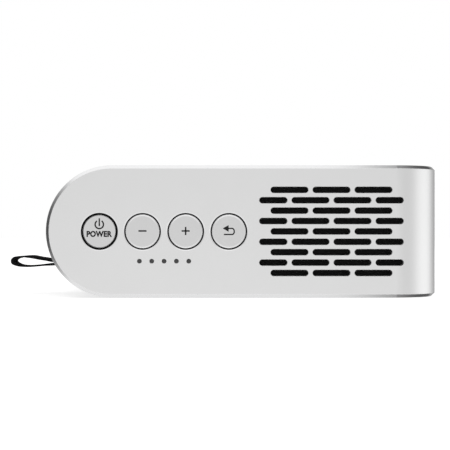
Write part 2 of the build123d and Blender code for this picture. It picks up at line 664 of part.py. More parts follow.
def body_openings():
    """What is cut from both covers: bush bores, speaker windows, the front opening and the rear bay."""
    cuts = [slab(Circle(BUSH_RADIUS + HUB_FIT), -FAR, FAR)]
    window = Pos(GRILLE_CENTRE_X, 0) * rounded(*BODY_WINDOW, WINDOW_CORNER)
    cuts.append(slab(window, -FAR, FAR))
    recess = Pos(GRILLE_CENTRE_X, 0) * mesh_outline(PANEL_FIT)
    for side in SIDES.values():
        cuts.append(slab(recess, side * (BODY_HALF - MESH_THICKNESS), side * FAR))
    cuts.append(along_x(rounded(*PANEL_SIZE, PANEL_CORNER), BODY_FRONT - 2 * WALL, FAR))
    lip = FLAP_HALF_WIDTH - FLAP_LIP
    opening = rear_arc(BODY_RADIUS + 1, INNER_RADIUS - BAY_DEPTH, FLAP_TOP_ANGLE - FLAP_SEAT_ANGLES[0],
                       FLAP_BOTTOM_ANGLE + FLAP_SEAT_ANGLES[1])
    cuts.append(slab(opening, -lip, lip))
    seat = rear_arc(BODY_RADIUS + 1, BODY_RADIUS - FLAP_THICKNESS, FLAP_TOP_ANGLE + ANCHOR_ANGLE,
                    FLAP_BOTTOM_ANGLE - degrees(FLAP_FIT / BODY_RADIUS))
    cuts.append(slab(seat, -FLAP_HALF_WIDTH - FLAP_FIT, FLAP_HALF_WIDTH + FLAP_FIT))
    return cuts


def mesh_outline(grow=0.0):
    width, height = (size + 2 * (MESH_BORDER + grow) for size in BODY_WINDOW)
    return rounded(width, height, WINDOW_CORNER + MESH_BORDER)


def bay_walls(fit):
    """The walls of the rear bay, between the covers' skin and the port panel."""
    skin = body_form(WALL / 2 + fit)
    end = FLAP_HALF_WIDTH - FLAP_LIP
    front = PORT_PLANE_X + PORT_PANEL_THICKNESS + LIP_FIT
    walls = [block((-FAR, front), (side * end + min(0, side * BAY_RIB), side * end + max(0, side * BAY_RIB)),
                   (-FAR, FAR)) for side in SIDES.values()]
    panel = block((PORT_PLANE_X - LIP_FIT, FAR), (-FAR, FAR), (-FAR, FAR))
    return [skin & (wall - panel) for wall in walls]


def body_screw_places():
    """Two screws on each side and one behind the front panel."""
    places = [(x, side * (INNER_HALF - SIDE_SCREW_INSET)) for x in SIDE_SCREW_X for side in SIDES.values()]
    return places + [(BODY_FRONT - FRONT_SCREW[0], FRONT_SCREW[1])]


def screw_posts(z_from, z_to):
    skin = body_form(WALL / 2)
    post = Circle(SCREW_POST_RADIUS)
    return [skin & upright(Pos(x, y) * post, z_from, z_to) for x, y in body_screw_places()]


def board_post_places():
    return [(x, side * (MAIN_BOARD_HALF - inset)) for x, inset in BOARD_POSTS for side in SIDES.values()]


def make_bottom_cover():
    cover = (body_form(0) - body_form(WALL)) & below_parting()
    rebate = body_form(WALL / 2) - body_form(WALL)
    rebate &= block((-FAR, FAR), (-FAR, FAR), (-LIP_HEIGHT - LIP_FIT, 1))
    cover -= rebate
    cover += [wall & below_parting(-LIP_HEIGHT - LIP_FIT) for wall in bay_walls(0)]
    cover += screw_posts(-BODY_RADIUS, 0)
    skin = body_form(WALL / 2)
    board_seat = MAIN_BOARD_TOP - MAIN_BOARD_THICKNESS
    for x, y in board_post_places():
        cover += skin & upright(Pos(x, y) * Circle(POST_RADIUS), -BODY_RADIUS, board_seat)
    for x in (ENGINE_X[0] + ENGINE_POST_INSET, ENGINE_X[1] - ENGINE_POST_INSET):
        for y in (ENGINE_Y[0] + ENGINE_POST_INSET, ENGINE_Y[1] - ENGINE_POST_INSET):
            cover += skin & upright(Pos(x, y) * Circle(POST_RADIUS), -BODY_RADIUS, ENGINE_Z[0])
    for y in (SINK_Y, SINK_Y + FIN_PITCH * (FINS - 1) - SINK_RAIL):
        cover += skin & block(SINK_X, (y, y + SINK_RAIL), (-BODY_RADIUS, -SINK_HEIGHT / 2))
    cover += upright(Pos(INSERT_X, 0) * Circle(INSERT_RADIUS + INSERT_WALL), -BODY_RADIUS + WALL / 2,
                     -BODY_RADIUS + INSERT_LENGTH + INSERT_WALL)
    cover -= upright(Pos(INSERT_X, 0) * Circle(INSERT_RADIUS), -FAR, -BODY_RADIUS + INSERT_LENGTH)
    for x, y in body_screw_places():
        cover -= upright(Pos(x, y) * Circle(SCREW_ACCESS_RADIUS), -FAR, SCREW_SEAT_Z)
        cover -= upright(Pos(x, y) * Circle(SCREW_RADIUS + SCREW_FIT), -FAR, FAR)
    for x, y in foot_places():
        cover -= upright(Pos(x, y) * Circle(FOOT_RADIUS), -FAR, -BODY_RADIUS + FOOT_RECESS)
    for index in range(BOTTOM_VENTS):
        y = SINK_Y + FIRST_BOTTOM_VENT + index * BOTTOM_VENT_PITCH
        slot = Pos((SINK_X[0] + SINK_X[1]) / 2, y) * SlotOverall(*BOTTOM_VENT)
        cover -= upright(slot, -BODY_RADIUS - 1, -SINK_HEIGHT / 2)
    return cover - body_openings()


def make_top_cover():
    cover = (body_form(0) - body_form(WALL)) & above_parting()
    lip = body_form(WALL / 2 + LIP_FIT) - body_form(WALL)
    cover += lip & block((-FAR, FAR), (-FAR, FAR), (-LIP_HEIGHT, 1))
    cover += [wall & above_parting(-LIP_HEIGHT) for wall in bay_walls(LIP_FIT)]
    cover += screw_posts(0, BODY_RADIUS)
    for x, y in body_screw_places():
        cover -= upright(Pos(x, y) * Circle(SCREW_RADIUS + SCREW_FIT), -1, SCREW_SEAT_Z + SCREW_LENGTH + 1)
    reach = FOCUS_RADIUS + FOCUS_SLOT_FIT
    low, high = FOCUS_RING_X[0] - FOCUS_SLOT_FIT, FOCUS_RING_X[1] + FOCUS_SLOT_FIT
    cover -= along_x(Pos(LENS_Y, LENS_Z) * Circle(reach), low, high)
    return cover - body_openings()


def foot_places():
    return [(x, side * (BODY_HALF - FOOT_INSET)) for x in FOOT_X for side in SIDES.values()]


def make_rubber_feet():
    top = -BODY_RADIUS + FOOT_RECESS
    feet = [upright(Pos(x, y) * Circle(FOOT_RADIUS), FOOT_BOTTOM, top) for x, y in foot_places()]
    return [chamfer(foot.faces().sort_by(Axis.Z)[0].edges(), INNER_EDGE_CHAMFER) for foot in feet]


def make_tripod_insert():
    bottom = -BODY_RADIUS
    insert = upright(Pos(INSERT_X, 0) * Circle(INSERT_RADIUS), bottom, bottom + INSERT_LENGTH)
    return insert - upright(Pos(INSERT_X, 0) * Circle(INSERT_BORE_RADIUS), -FAR, FAR)


def make_body_screws():
    screws = []
    for x, y in body_screw_places():
        head = upright(Pos(x, y) * Circle(SCREW_HEAD[0]), SCREW_SEAT_Z - SCREW_HEAD[1], SCREW_SEAT_Z)
        shank = upright(Pos(x, y) * Circle(SCREW_RADIUS), SCREW_SEAT_Z, SCREW_SEAT_Z + SCREW_LENGTH)
        screws.append(head + shank)
    return screws


def make_speaker_mesh():
    outline = Pos(GRILLE_CENTRE_X, 0) * mesh_outline()
    return [slab(outline, side * (BODY_HALF - MESH_THICKNESS), side * BODY_HALF) for side in SIDES.values()]


def front_vent_y(index):
    return FAN_Y + (index - (FRONT_VENTS - 1) / 2) * FRONT_VENT_PITCH


def make_front_panel():
    """The panel in the front opening: lens hood, exhaust slots and the remote's window."""
    width, height = (size - 2 * PANEL_FIT for size in PANEL_SIZE)
    panel = along_x(rounded(width, height, PANEL_CORNER - PANEL_FIT), BODY_FRONT - WALL, BODY_FRONT)
    flange = rounded(width + 2 * PANEL_LIP, height + 2 * PANEL_LIP, PANEL_CORNER)
    panel += along_x(flange, BODY_FRONT - WALL - PANEL_LIP, BODY_FRONT - WALL) & body_form(WALL + PANEL_FIT)
    lens = Plane((BODY_FRONT, LENS_Y, LENS_Z), x_dir=(0, 1, 0), z_dir=(-1, 0, 0))
    hood = loft([lens * Circle(HOOD_RADIUS), lens.offset(HOOD_LENGTH) * Circle(HOOD_BACK_RADIUS)])
    shell = along_x(Pos(LENS_Y, LENS_Z) * Circle(HOOD_RADIUS + TRIM_WIDTH), BODY_FRONT - HOOD_LENGTH,
                    BODY_FRONT - WALL)
    panel = panel + shell - hood
    panel -= along_x(Pos(LENS_Y, LENS_Z) * Circle(HOOD_RADIUS + TRIM_WIDTH), BODY_FRONT - TRIM_WIDTH, FAR)
    for index in range(FRONT_VENTS):
        slot = Pos(front_vent_y(index), FRONT_VENT_Z) * Rot(0, 0, 90) * SlotOverall(*FRONT_VENT)
        panel -= along_x(slot, BODY_FRONT - 3 * WALL, FAR)
    panel -= along_x(Pos(WINDOW_Y, 0) * Circle(WINDOW_RADIUS), BODY_FRONT - WALL / 2, FAR)
    return panel


def make_lens_trim_ring():
    ring = Circle(HOOD_RADIUS + TRIM_WIDTH - SCREW_FIT) - Circle(HOOD_RADIUS)
    return along_x(Pos(LENS_Y, LENS_Z) * ring, BODY_FRONT - TRIM_WIDTH, BODY_FRONT)


def make_remote_window():
    disc = Circle(WINDOW_RADIUS - SCREW_FIT)
    return along_x(Pos(WINDOW_Y, 0) * disc, BODY_FRONT - WALL / 2, BODY_FRONT)


# --- lens and focus ---------------------------------------------------------------------------------------
def lens_disc(radius):
    return Pos(LENS_Y, LENS_Z) * Circle(radius)


def key_slot(grow):
    """Outline, seen along X, of the barrel's key under the lens axis."""
    width, height = BARREL_KEY[0] + 2 * grow, BARREL_KEY[1] + grow
    top = LENS_Z - BARREL_RADIUS + BARREL_WALL / 2
    bottom = LENS_Z - BARREL_RADIUS - height
    return Pos(LENS_Y, (top + bottom) / 2) * Rectangle(width, top - bottom)


def key_span():
    """The key's two ends along X, with the barrel at rest."""
    return FOCUS_RING_X[0] - BARREL_TRAVEL / 2, FOCUS_RING_X[0] - BARREL_TRAVEL / 2 + BARREL_KEY[2]


def make_lens_sleeve():
    """The fixed tube on the light engine, in which the barrel slides."""
    ring = lens_disc(SLEEVE_RADII[1]) - lens_disc(SLEEVE_RADII[0])
    sleeve = along_x(ring, *SLEEVE_X)
    flange = lens_disc(INNER_RADIUS - LENS_Z - SLEEVE_FLANGE_FIT) - lens_disc(SLEEVE_RADII[0])
    sleeve += along_x(flange, SLEEVE_X[0], SLEEVE_X[0] + SLEEVE_FLANGE)
    low, high = key_span()
    return sleeve - along_x(key_slot(KEY_FIT), low - KEY_END_FIT, high + BARREL_TRAVEL + KEY_END_FIT)


def make_lens_barrel():
    barrel = along_x(lens_disc(BARREL_RADIUS), *BARREL_X)
    barrel = chamfer(barrel.faces().sort_by(Axis.X)[-1].edges(), INNER_EDGE_CHAMFER)
    barrel += along_x(key_slot(0), *key_span())
    return barrel - along_x(lens_disc(BARREL_RADIUS - BARREL_WALL), 0, FAR)


def make_lens_elements():
    """A bulging front element and a thinner one behind it, both held in the barrel."""
    radius = BARREL_RADIUS - BARREL_WALL
    glasses = []
    for setback, edge, bulge in (FRONT_GLASS, REAR_GLASS):
        front = BARREL_X[1] - setback
        ball = (radius ** 2 + bulge ** 2) / (2 * bulge)
        disc = along_x(lens_disc(radius), front - edge - bulge, front)
        dome = Pos(front - ball, LENS_Y, LENS_Z) * Sphere(ball)
        glasses.append(disc & dome)
    return glasses


def make_focus_ring():
    """A toothed wheel on the sleeve: its rim stands out of the top cover."""
    step = 2 * pi / FOCUS_TEETH
    inner = FOCUS_RADIUS - FOCUS_TOOTH_DEPTH
    root, tip = FOCUS_TOOTH
    points = []
    for tooth in range(FOCUS_TEETH):
        for offset, radius in ((-root, inner), (-tip, FOCUS_RADIUS), (tip, FOCUS_RADIUS), (root, inner)):
            angle = (tooth + offset) * step + pi / 2
            points.append((LENS_Y + radius * cos(angle), LENS_Z + radius * sin(angle)))
    wheel = make_face(Polyline(*points, close=True))
    bore = SLEEVE_RADII[1] + FOCUS_RING_FIT
    hole = Pos((bore + inner) / 2, 0) * Circle(FOCUS_HOLE_RADIUS)
    holes = [Pos(LENS_Y, LENS_Z) * Rot(0, 0, 360 / FOCUS_HOLES * k) * hole for k in range(FOCUS_HOLES)]
    return along_x(wheel - holes - lens_disc(bore), *FOCUS_RING_X)


# --- light engine -----------------------------------------------------------------------------------------
def make_optical_engine():
    engine = block(ENGINE_X, ENGINE_Y, ENGINE_Z)
    engine = chamfer(engine.edges().filter_by(Axis.Z), ENGINE_CHAMFER)
    step, depth = ENGINE_BORE
    engine -= along_x(lens_disc(SLEEVE_RADII[0] - step), ENGINE_X[1] - depth, FAR)
    hole = Circle(LED_LENS_RADIUS + LED_HOLE_FIT)
    for x in LED_PLACES_X:
        engine -= slab(Pos(x, LED_Z) * hole, ENGINE_Y[1] - LED_HOLE_DEPTH, FAR)
    return engine - along_x(Pos(sum(ENGINE_Y) / 2, 0) * hole, ENGINE_X[0] - 1, ENGINE_X[0] + LED_HOLE_DEPTH)


def make_side_led(x):
    """An LED on its board, against the engine's side, with its lens inside the engine."""
    y = ENGINE_Y[1]
    board = slab(Pos(x, LED_Z) * Rectangle(LED_BOARD[0], LED_BOARD[1]), y, y + LED_BOARD[2])
    return board + slab(Pos(x, LED_Z) * Circle(LED_LENS_RADIUS), y - LED_LENS_LENGTH, y)


def make_green_led():
    x, y = ENGINE_X[0], sum(ENGINE_Y) / 2
    board = along_x(Pos(y, 0) * Rectangle(LED_BOARD[1], LED_BOARD[0]), x - LED_BOARD[2], x)
    return board + along_x(Pos(y, 0) * Circle(LED_LENS_RADIUS), x, x + LED_LENS_LENGTH)


def make_imager_board():
    middle = (sum(ENGINE_X) / 2, sum(ENGINE_Y) / 2)
    return upright(Pos(*middle) * Rectangle(IMAGER_BOARD[0], IMAGER_BOARD[1]), ENGINE_Z[1],
                   ENGINE_Z[1] + IMAGER_BOARD[2])


def heat_pipe_path():
    turn_x = (SINK_X[0] + SINK_X[1]) / 2
    end_y = SINK_Y + FIN_PITCH * (FINS - 1) + FIN_THICKNESS
    start = (SPREADER_X[0] - HEAT_PIPE_STUB, HEAT_PIPE_Y, HEAT_PIPE_Z)
    corner = (turn_x, HEAT_PIPE_Y, HEAT_PIPE_Z)
    return FilletPolyline(start, corner, (turn_x, end_y, HEAT_PIPE_Z), radius=HEAT_PIPE_BEND)


def heat_pipe(radius):
    path = heat_pipe_path()
    return sweep(Plane(origin=path @ 0, z_dir=path % 0) * Circle(radius), path=path)


def make_heat_spreader():
    y = ENGINE_Y[1] + LED_BOARD[2]
    spreader = block(SPREADER_X, (y, y + SPREADER_DEPTH), SPREADER_Z)
    bore = Pos(HEAT_PIPE_Y, HEAT_PIPE_Z) * Circle(HEAT_PIPE_RADIUS + HEAT_PIPE_FIT)
    return spreader - along_x(bore, 0, FAR)


def make_heat_sink():
    """Thin upright fins with folded edges, pressed on the heat pipe."""
    half = SINK_HEIGHT / 2
    fins = [block(SINK_X, (y, y + FIN_THICKNESS), (-half, half))
            for y in [SINK_Y + FIN_PITCH * k for k in range(FINS)]]
    end = SINK_Y + FIN_PITCH * (FINS - 1) + FIN_THICKNESS
    sink = block(SINK_X, (SINK_Y, end), (-half, -half + SINK_PLATE))
    sink += block(SINK_X, (SINK_Y, end), (half - SINK_PLATE, half))
    sink += fins
    turn_x = (SINK_X[0] + SINK_X[1]) / 2
    return sink - slab(Pos(turn_x, HEAT_PIPE_Z) * Circle(HEAT_PIPE_RADIUS + HEAT_PIPE_FIT), SINK_Y - 1, FAR)


def fan_z():
    """The fan stands on the bottom cover."""
    return -INNER_RADIUS + FAN_SIZE / 2


def make_fan_housing():
    centre = Pos(FAN_Y, fan_z())
    back = FAN_FRONT_X - FAN_DEPTH
    frame = along_x(centre * rounded(FAN_SIZE, FAN_SIZE, FAN_CORNER), back, FAN_FRONT_X)
    frame -= along_x(centre * Circle(FAN_BORE_RADIUS), 0, FAR)
    width, depth = FAN_ARM
    hub = along_x(centre * Circle(FAN_HUB_RADIUS), back, back + depth)
    arm = Pos((FAN_BORE_RADIUS + FAN_WALL) / 2, 0) * Rectangle(FAN_BORE_RADIUS + FAN_WALL, width)
    arms = [along_x(centre * Rot(0, 0, 360 / FAN_ARMS * k + FAN_ARM_ANGLE) * arm, back, back + depth)
            for k in range(FAN_ARMS)]
    pin = along_x(centre * Circle(FAN_PIN_RADIUS), back, FAN_FRONT_X - FAN_PIN_END[0])
    inset = FAN_SIZE / 2 - FAN_HOLE_INSET
    holes = [along_x(centre * Pos(a * inset, b * inset) * Circle(FAN_HOLE_RADIUS), 0, FAR)
             for a in (-1, 1) for b in (-1, 1)]
    return frame + hub + arms + pin - holes


def make_fan_impeller():
    """A cup on the fan's pin, with blades set at an angle."""
    back, front = FAN_FRONT_X - FAN_DEPTH + IMPELLER_SETBACK[0], FAN_FRONT_X - IMPELLER_SETBACK[1]
    place = Pos(0, FAN_Y, fan_z())
    cup = along_x(Circle(FAN_HUB_RADIUS), back, front)
    blade = Pos((back + front) / 2, 0, BLADE_ROOT + IMPELLER_RADIUS / 2) * Rot(0, 0, BLADE_PITCH_ANGLE)
    blade *= Box(BLADE_CHORD, BLADE_THICKNESS, IMPELLER_RADIUS)
    blades = [Rot(360 / FAN_BLADES * k, 0, 0) * blade for k in range(FAN_BLADES)]
    reach = along_x(Circle(IMPELLER_RADIUS), back, front)
    impeller = cup + [blade & reach for blade in blades]
    bore = along_x(Circle(FAN_PIN_RADIUS + FAN_PIN_FIT), back - 1, FAN_FRONT_X - FAN_PIN_END[1])
    return place * (impeller - bore)


# --- boards, battery and speakers -------------------------------------------------------------------------
def make_main_board():
    board = block(MAIN_BOARD_X, (-MAIN_BOARD_HALF, MAIN_BOARD_HALF),
                  (MAIN_BOARD_TOP - MAIN_BOARD_THICKNESS, MAIN_BOARD_TOP))
    return fillet(board.edges().filter_by(Axis.Z), MAIN_BOARD_CORNER)


def make_cable_socket():
    end = -(HALF_WIDTH - CABLE_REACH)
    half = SOCKET_SIZE[0] / 2
    return block((-half, half), (end, end + SOCKET_SIZE[1]), (MAIN_BOARD_TOP, CABLE_RADIUS + SOCKET_RISE))


def make_battery_pack():
    beside, above = BATTERY_ROOM
    pack = block(BATTERY_X, (BATTERY_Y, INNER_HALF - beside), (-INNER_RADIUS, INNER_RADIUS - above))
    return fillet(pack.edges().filter_by(Axis.Y), BATTERY_CORNER)


def make_speaker(side):
    """A closed speaker box with its cone behind the window in the body's side."""
    inner, outer = SPEAKER_ROOM - ENGINE_Y[0], INNER_HALF
    box = block(SPEAKER_X, sorted((side * inner, side * outer)), (-INNER_RADIUS, INNER_RADIUS))
    box &= body_form(WALL + SPEAKER_FIT)
    surface = Plane((GRILLE_CENTRE_X, side * (outer - SPEAKER_FIT), 0), x_dir=(1, 0, 0), z_dir=(0, -side, 0))
    radius, depth = SPEAKER_CONE
    cap_radius, cap_top, cap_thickness = SPEAKER_CAP
    cone = loft([surface * Circle(radius), surface.offset(depth) * Circle(cap_radius)])
    return box - cone + extrude(surface.offset(cap_top) * Circle(cap_radius), amount=cap_thickness)


# --- rear ports -------------------------------------------------------------------------------------------
def port_outlines():
    """Each socket's place along Y, its size and its opening. The gaps between them are equal."""
    sockets = {
        "power_jack": (POWER_JACK, Circle(POWER_JACK_BORE)),
        "hdmi_port": (HDMI_PORT, rounded(*HDMI_MOUTH)),
        "usb_a_port": (USB_A_PORT, Rectangle(*USB_A_MOUTH)),
        "usb_c_port": (USB_C_PORT, SlotOverall(*USB_C_MOUTH)),
        "audio_jack": (AUDIO_JACK, Circle(AUDIO_JACK_BORE)),
        "card_slot": (CARD_SLOT, Rectangle(*CARD_MOUTH)),
    }
    room = 2 * FLAP_HALF_WIDTH - sum(PORT_ROW_INSETS) - sum(size[0] for size, _ in sockets.values())
    gap = room / (len(sockets) - 1)
    y = PORT_ROW_INSETS[0] - FLAP_HALF_WIDTH
    placed = {}
    for name, (size, opening) in sockets.items():
        placed[name] = (y + size[0] / 2, size, opening)
        y += size[0] + gap
    return placed


def port_tongues():
    """The contact tongue inside some sockets: its size and how far it lies above the socket's middle."""
    return {
        "hdmi_port": (HDMI_TONGUE, 0.0),
        "usb_a_port": (USB_A_TONGUE, USB_A_TONGUE_RISE),
        "usb_c_port": (USB_C_TONGUE, 0.0),
    }


def port_height(size):
    return MAIN_BOARD_TOP + size[1] / 2


def make_port(name):
    """A socket on the main board, its mouth flush with the port panel."""
    y, size, opening = port_outlines()[name]
    width, height, depth = size
    at = Pos(y, port_height(size))
    back = PORT_PLANE_X + depth
    port = along_x(at * Rectangle(width, height), PORT_PLANE_X, back)
    port -= along_x(at * opening, PORT_PLANE_X - 1, back - PORT_BACK)
    if name in port_tongues():
        (tongue_width, tongue_height, setback), rise = port_tongues()[name]
        tongue = at * Pos(0, rise) * Rectangle(tongue_width, tongue_height)
        port += along_x(tongue, PORT_PLANE_X + setback, back)
    return port


def make_port_panel():
    """The flat panel at the back of the rear bay, held between the covers."""
    reach = body_form(WALL + PANEL_FIT)
    span = FLAP_HALF_WIDTH - FLAP_LIP + BAY_RIB
    panel = reach & block((PORT_PLANE_X, PORT_PLANE_X + PORT_PANEL_THICKNESS), (-span, span), (-FAR, FAR))
    for y, size, _ in port_outlines().values():
        hole = Rectangle(size[0] + 2 * PORT_FIT, size[1] + 2 * PORT_FIT)
        panel -= along_x(Pos(y, port_height(size)) * hole, PORT_PLANE_X - 1, 0)
    board = block((MAIN_BOARD_X[0] - 1, FAR), (-FAR, FAR),
                  (MAIN_BOARD_TOP - MAIN_BOARD_THICKNESS - PORT_FIT, MAIN_BOARD_TOP))
    return panel - board


def hinge_point():
    """The flap's hinge line, on the body's surface: x and z."""
    angle = radians(180 - FLAP_TOP_ANGLE)
    return BODY_RADIUS * cos(angle), BODY_RADIUS * sin(angle)


def strap_outline(grow=0.0):
    """The loop's outer outline: a belt round a wide tip and a narrow root."""
    root_x = STRAP_END_X + STRAP_JOIN - STRAP_ROOT_RADIUS
    tip = Pos(-STRAP_REACH + STRAP_TIP_RADIUS, STRAP_Z) * Circle(STRAP_TIP_RADIUS + grow)
    root = Pos(root_x, STRAP_Z) * Circle(STRAP_ROOT_RADIUS + grow)
    return make_hull(tip.edges() + root.edges())


def make_port_cover():
    flap = rear_arc(BODY_RADIUS, BODY_RADIUS - FLAP_THICKNESS,
                    FLAP_TOP_ANGLE - degrees(HINGE_NOTCH / BODY_RADIUS), FLAP_BOTTOM_ANGLE)
    cover = slab(flap, -FLAP_HALF_WIDTH, FLAP_HALF_WIDTH)
    half = STRAP_WIDTH / 2 + STRAP_FIT
    return cover - slab(strap_outline(STRAP_FIT), STRAP_Y - half, STRAP_Y + half)


def make_port_cover_anchor():
    strip = rear_arc(BODY_RADIUS, BODY_RADIUS - FLAP_THICKNESS,
                     FLAP_TOP_ANGLE + ANCHOR_ANGLE - degrees(FLAP_FIT / BODY_RADIUS), FLAP_TOP_ANGLE)
    return slab(strip, -FLAP_HALF_WIDTH, FLAP_HALF_WIDTH)


def make_pull_strap():
    """A woven loop through the flap, with its ends folded behind it."""
    half = STRAP_WIDTH / 2
    loop = slab(strap_outline() - strap_outline(-STRAP_THICKNESS), STRAP_Y - half, STRAP_Y + half)
    depth, height, width = STRAP_END
    end = block((STRAP_END_X, STRAP_END_X + depth), (STRAP_Y - width / 2, STRAP_Y + width / 2),
                (STRAP_END_LOW, STRAP_END_LOW + height))
    return loop + end


# --- all parts --------------------------------------------------------------------------------------------
def make_parts():
    parts = {
        "stand_frame": make_stand_frame(),
        "near_arm_plate": make_arm_plate(SIDES["near"]),
        "far_arm_plate": make_arm_plate(SIDES["far"]),
        "arm_plate_screws": make_arm_plate_screws(),
        "near_pivot_hub": make_pivot_hub(SIDES["near"]),
        "far_pivot_hub": make_pivot_hub(SIDES["far"]),
        "retaining_rings": make_retaining_rings(),
        "hinge_bushes": make_hinge_bushes(),
        "friction_washers": make_friction_washers(),
        "grille_cloth": make_grille_cloth(),
        "keypad_board": make_keypad_board(),
        "dome_switches": make_dome_switches(),
        "power_button_ring": make_power_button_ring(),
        "battery_light_pipes": make_battery_light_pipes(),
        "indicator_leds": make_indicator_leds(),
        "keypad_cable": make_keypad_cable(),
        "crossbar_liner": make_crossbar_liner(),
        "lens_pad": make_lens_pad(),
        "bottom_cover": make_bottom_cover(),
        "top_cover": make_top_cover(),
        "front_panel": make_front_panel(),
        "lens_trim_ring": make_lens_trim_ring(),
        "remote_window": make_remote_window(),
        "rubber_feet": make_rubber_feet(),
        "tripod_insert": make_tripod_insert(),
        "body_screws": make_body_screws(),
        "speaker_mesh": make_speaker_mesh(),
        "near_speaker": make_speaker(SIDES["near"]),
        "far_speaker": make_speaker(SIDES["far"]),
        "lens_sleeve": make_lens_sleeve(),
        "lens_barrel": make_lens_barrel(),
        "lens_elements": make_lens_elements(),
        "focus_ring": make_focus_ring(),
        "optical_engine": make_optical_engine(),
        "red_led_module": make_side_led(LED_PLACES_X[0]),
        "blue_led_module": make_side_led(LED_PLACES_X[1]),
        "green_led_module": make_green_led(),
        "imager_board": make_imager_board(),
        "heat_spreader": make_heat_spreader(),
        "heat_pipe": heat_pipe(HEAT_PIPE_RADIUS),
        "heat_sink": make_heat_sink(),
        "fan_housing": make_fan_housing(),
        "fan_impeller": make_fan_impeller(),
        "main_board": make_main_board(),
        "cable_socket": make_cable_socket(),
        "battery_pack": make_battery_pack(),
        "port_panel": make_port_panel(),
        "port_cover": make_port_cover(),
        "port_cover_anchor": make_port_cover_anchor(),
        "pull_strap": make_pull_strap(),
    }
    for index, name in enumerate(BUTTON_NAMES):
        parts[name] = make_button(index)
    for name in port_outlines():
        parts[name] = make_port(name)
    return parts


def main():
    """Writes one STEP for each part, with the origin under the middle of the whole object."""
    os.makedirs("parts", exist_ok=True)
    place = Pos(PIVOT_X, 0, PIVOT_Z)
    for name, shape in make_parts().items():
        items = shape if isinstance(shape, list) else [shape]
        solids = [solid for item in items for solid in item.solids()]
        whole = place * (solids[0] if len(solids) == 1 else Compound(solids))
        export_step(whole, f"parts/{name}.step")
        print(name, len(solids))


main()
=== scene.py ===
"""A pocket projector with a folding metal stand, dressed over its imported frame."""

import logging
from dataclasses import dataclass, replace
from enum import Enum
from typing import Any, Callable, Mapping, Optional, Sequence, Union

import bmesh
import bpy
import numpy as np
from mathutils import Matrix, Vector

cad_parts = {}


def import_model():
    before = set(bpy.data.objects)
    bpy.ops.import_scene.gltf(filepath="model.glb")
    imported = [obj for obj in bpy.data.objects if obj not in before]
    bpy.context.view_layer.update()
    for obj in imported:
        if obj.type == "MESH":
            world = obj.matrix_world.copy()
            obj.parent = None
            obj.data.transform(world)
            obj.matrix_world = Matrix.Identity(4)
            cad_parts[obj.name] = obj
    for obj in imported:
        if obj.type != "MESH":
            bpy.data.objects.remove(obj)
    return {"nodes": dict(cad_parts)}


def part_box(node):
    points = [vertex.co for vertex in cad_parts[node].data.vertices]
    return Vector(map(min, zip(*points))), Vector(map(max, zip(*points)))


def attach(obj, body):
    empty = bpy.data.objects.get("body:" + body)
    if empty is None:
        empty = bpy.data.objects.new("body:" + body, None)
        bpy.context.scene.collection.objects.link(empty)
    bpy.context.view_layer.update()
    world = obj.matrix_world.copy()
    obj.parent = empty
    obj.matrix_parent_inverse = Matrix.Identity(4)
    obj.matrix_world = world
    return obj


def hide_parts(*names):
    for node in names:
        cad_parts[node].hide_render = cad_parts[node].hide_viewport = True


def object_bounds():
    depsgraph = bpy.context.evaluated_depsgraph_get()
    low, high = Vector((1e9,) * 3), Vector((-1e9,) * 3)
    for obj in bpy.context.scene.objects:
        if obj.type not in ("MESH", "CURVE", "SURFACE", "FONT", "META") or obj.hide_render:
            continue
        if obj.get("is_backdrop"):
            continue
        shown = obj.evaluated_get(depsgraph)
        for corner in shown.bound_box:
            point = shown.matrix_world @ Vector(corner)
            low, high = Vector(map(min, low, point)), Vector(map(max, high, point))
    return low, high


LOG = logging.getLogger("projector")
MM = 0.001
SHARP_EDGE = np.radians(35.0)
Colour = tuple[float, float, float]
Number = Union[int, float]
Value = Union["Socket", Number]
Inputs = dict[str, Any]


# --- shader graphs ----------------------------------------
def _operator(operation: str, number_first: bool = False) -> Callable[["Socket", Value], "Socket"]:
    """A Socket's method for an arithmetic sign: it adds a Math node, perhaps with the number first."""
    def method(self: "Socket", other: Value) -> "Socket":
        """The Math node's output for this value and the other."""
        first, second = (other, self) if number_first else (self, other)
        return self.graph.node("ShaderNodeMath", {"operation": operation},
                               {"Value": first, "Value_001": second})
    return method


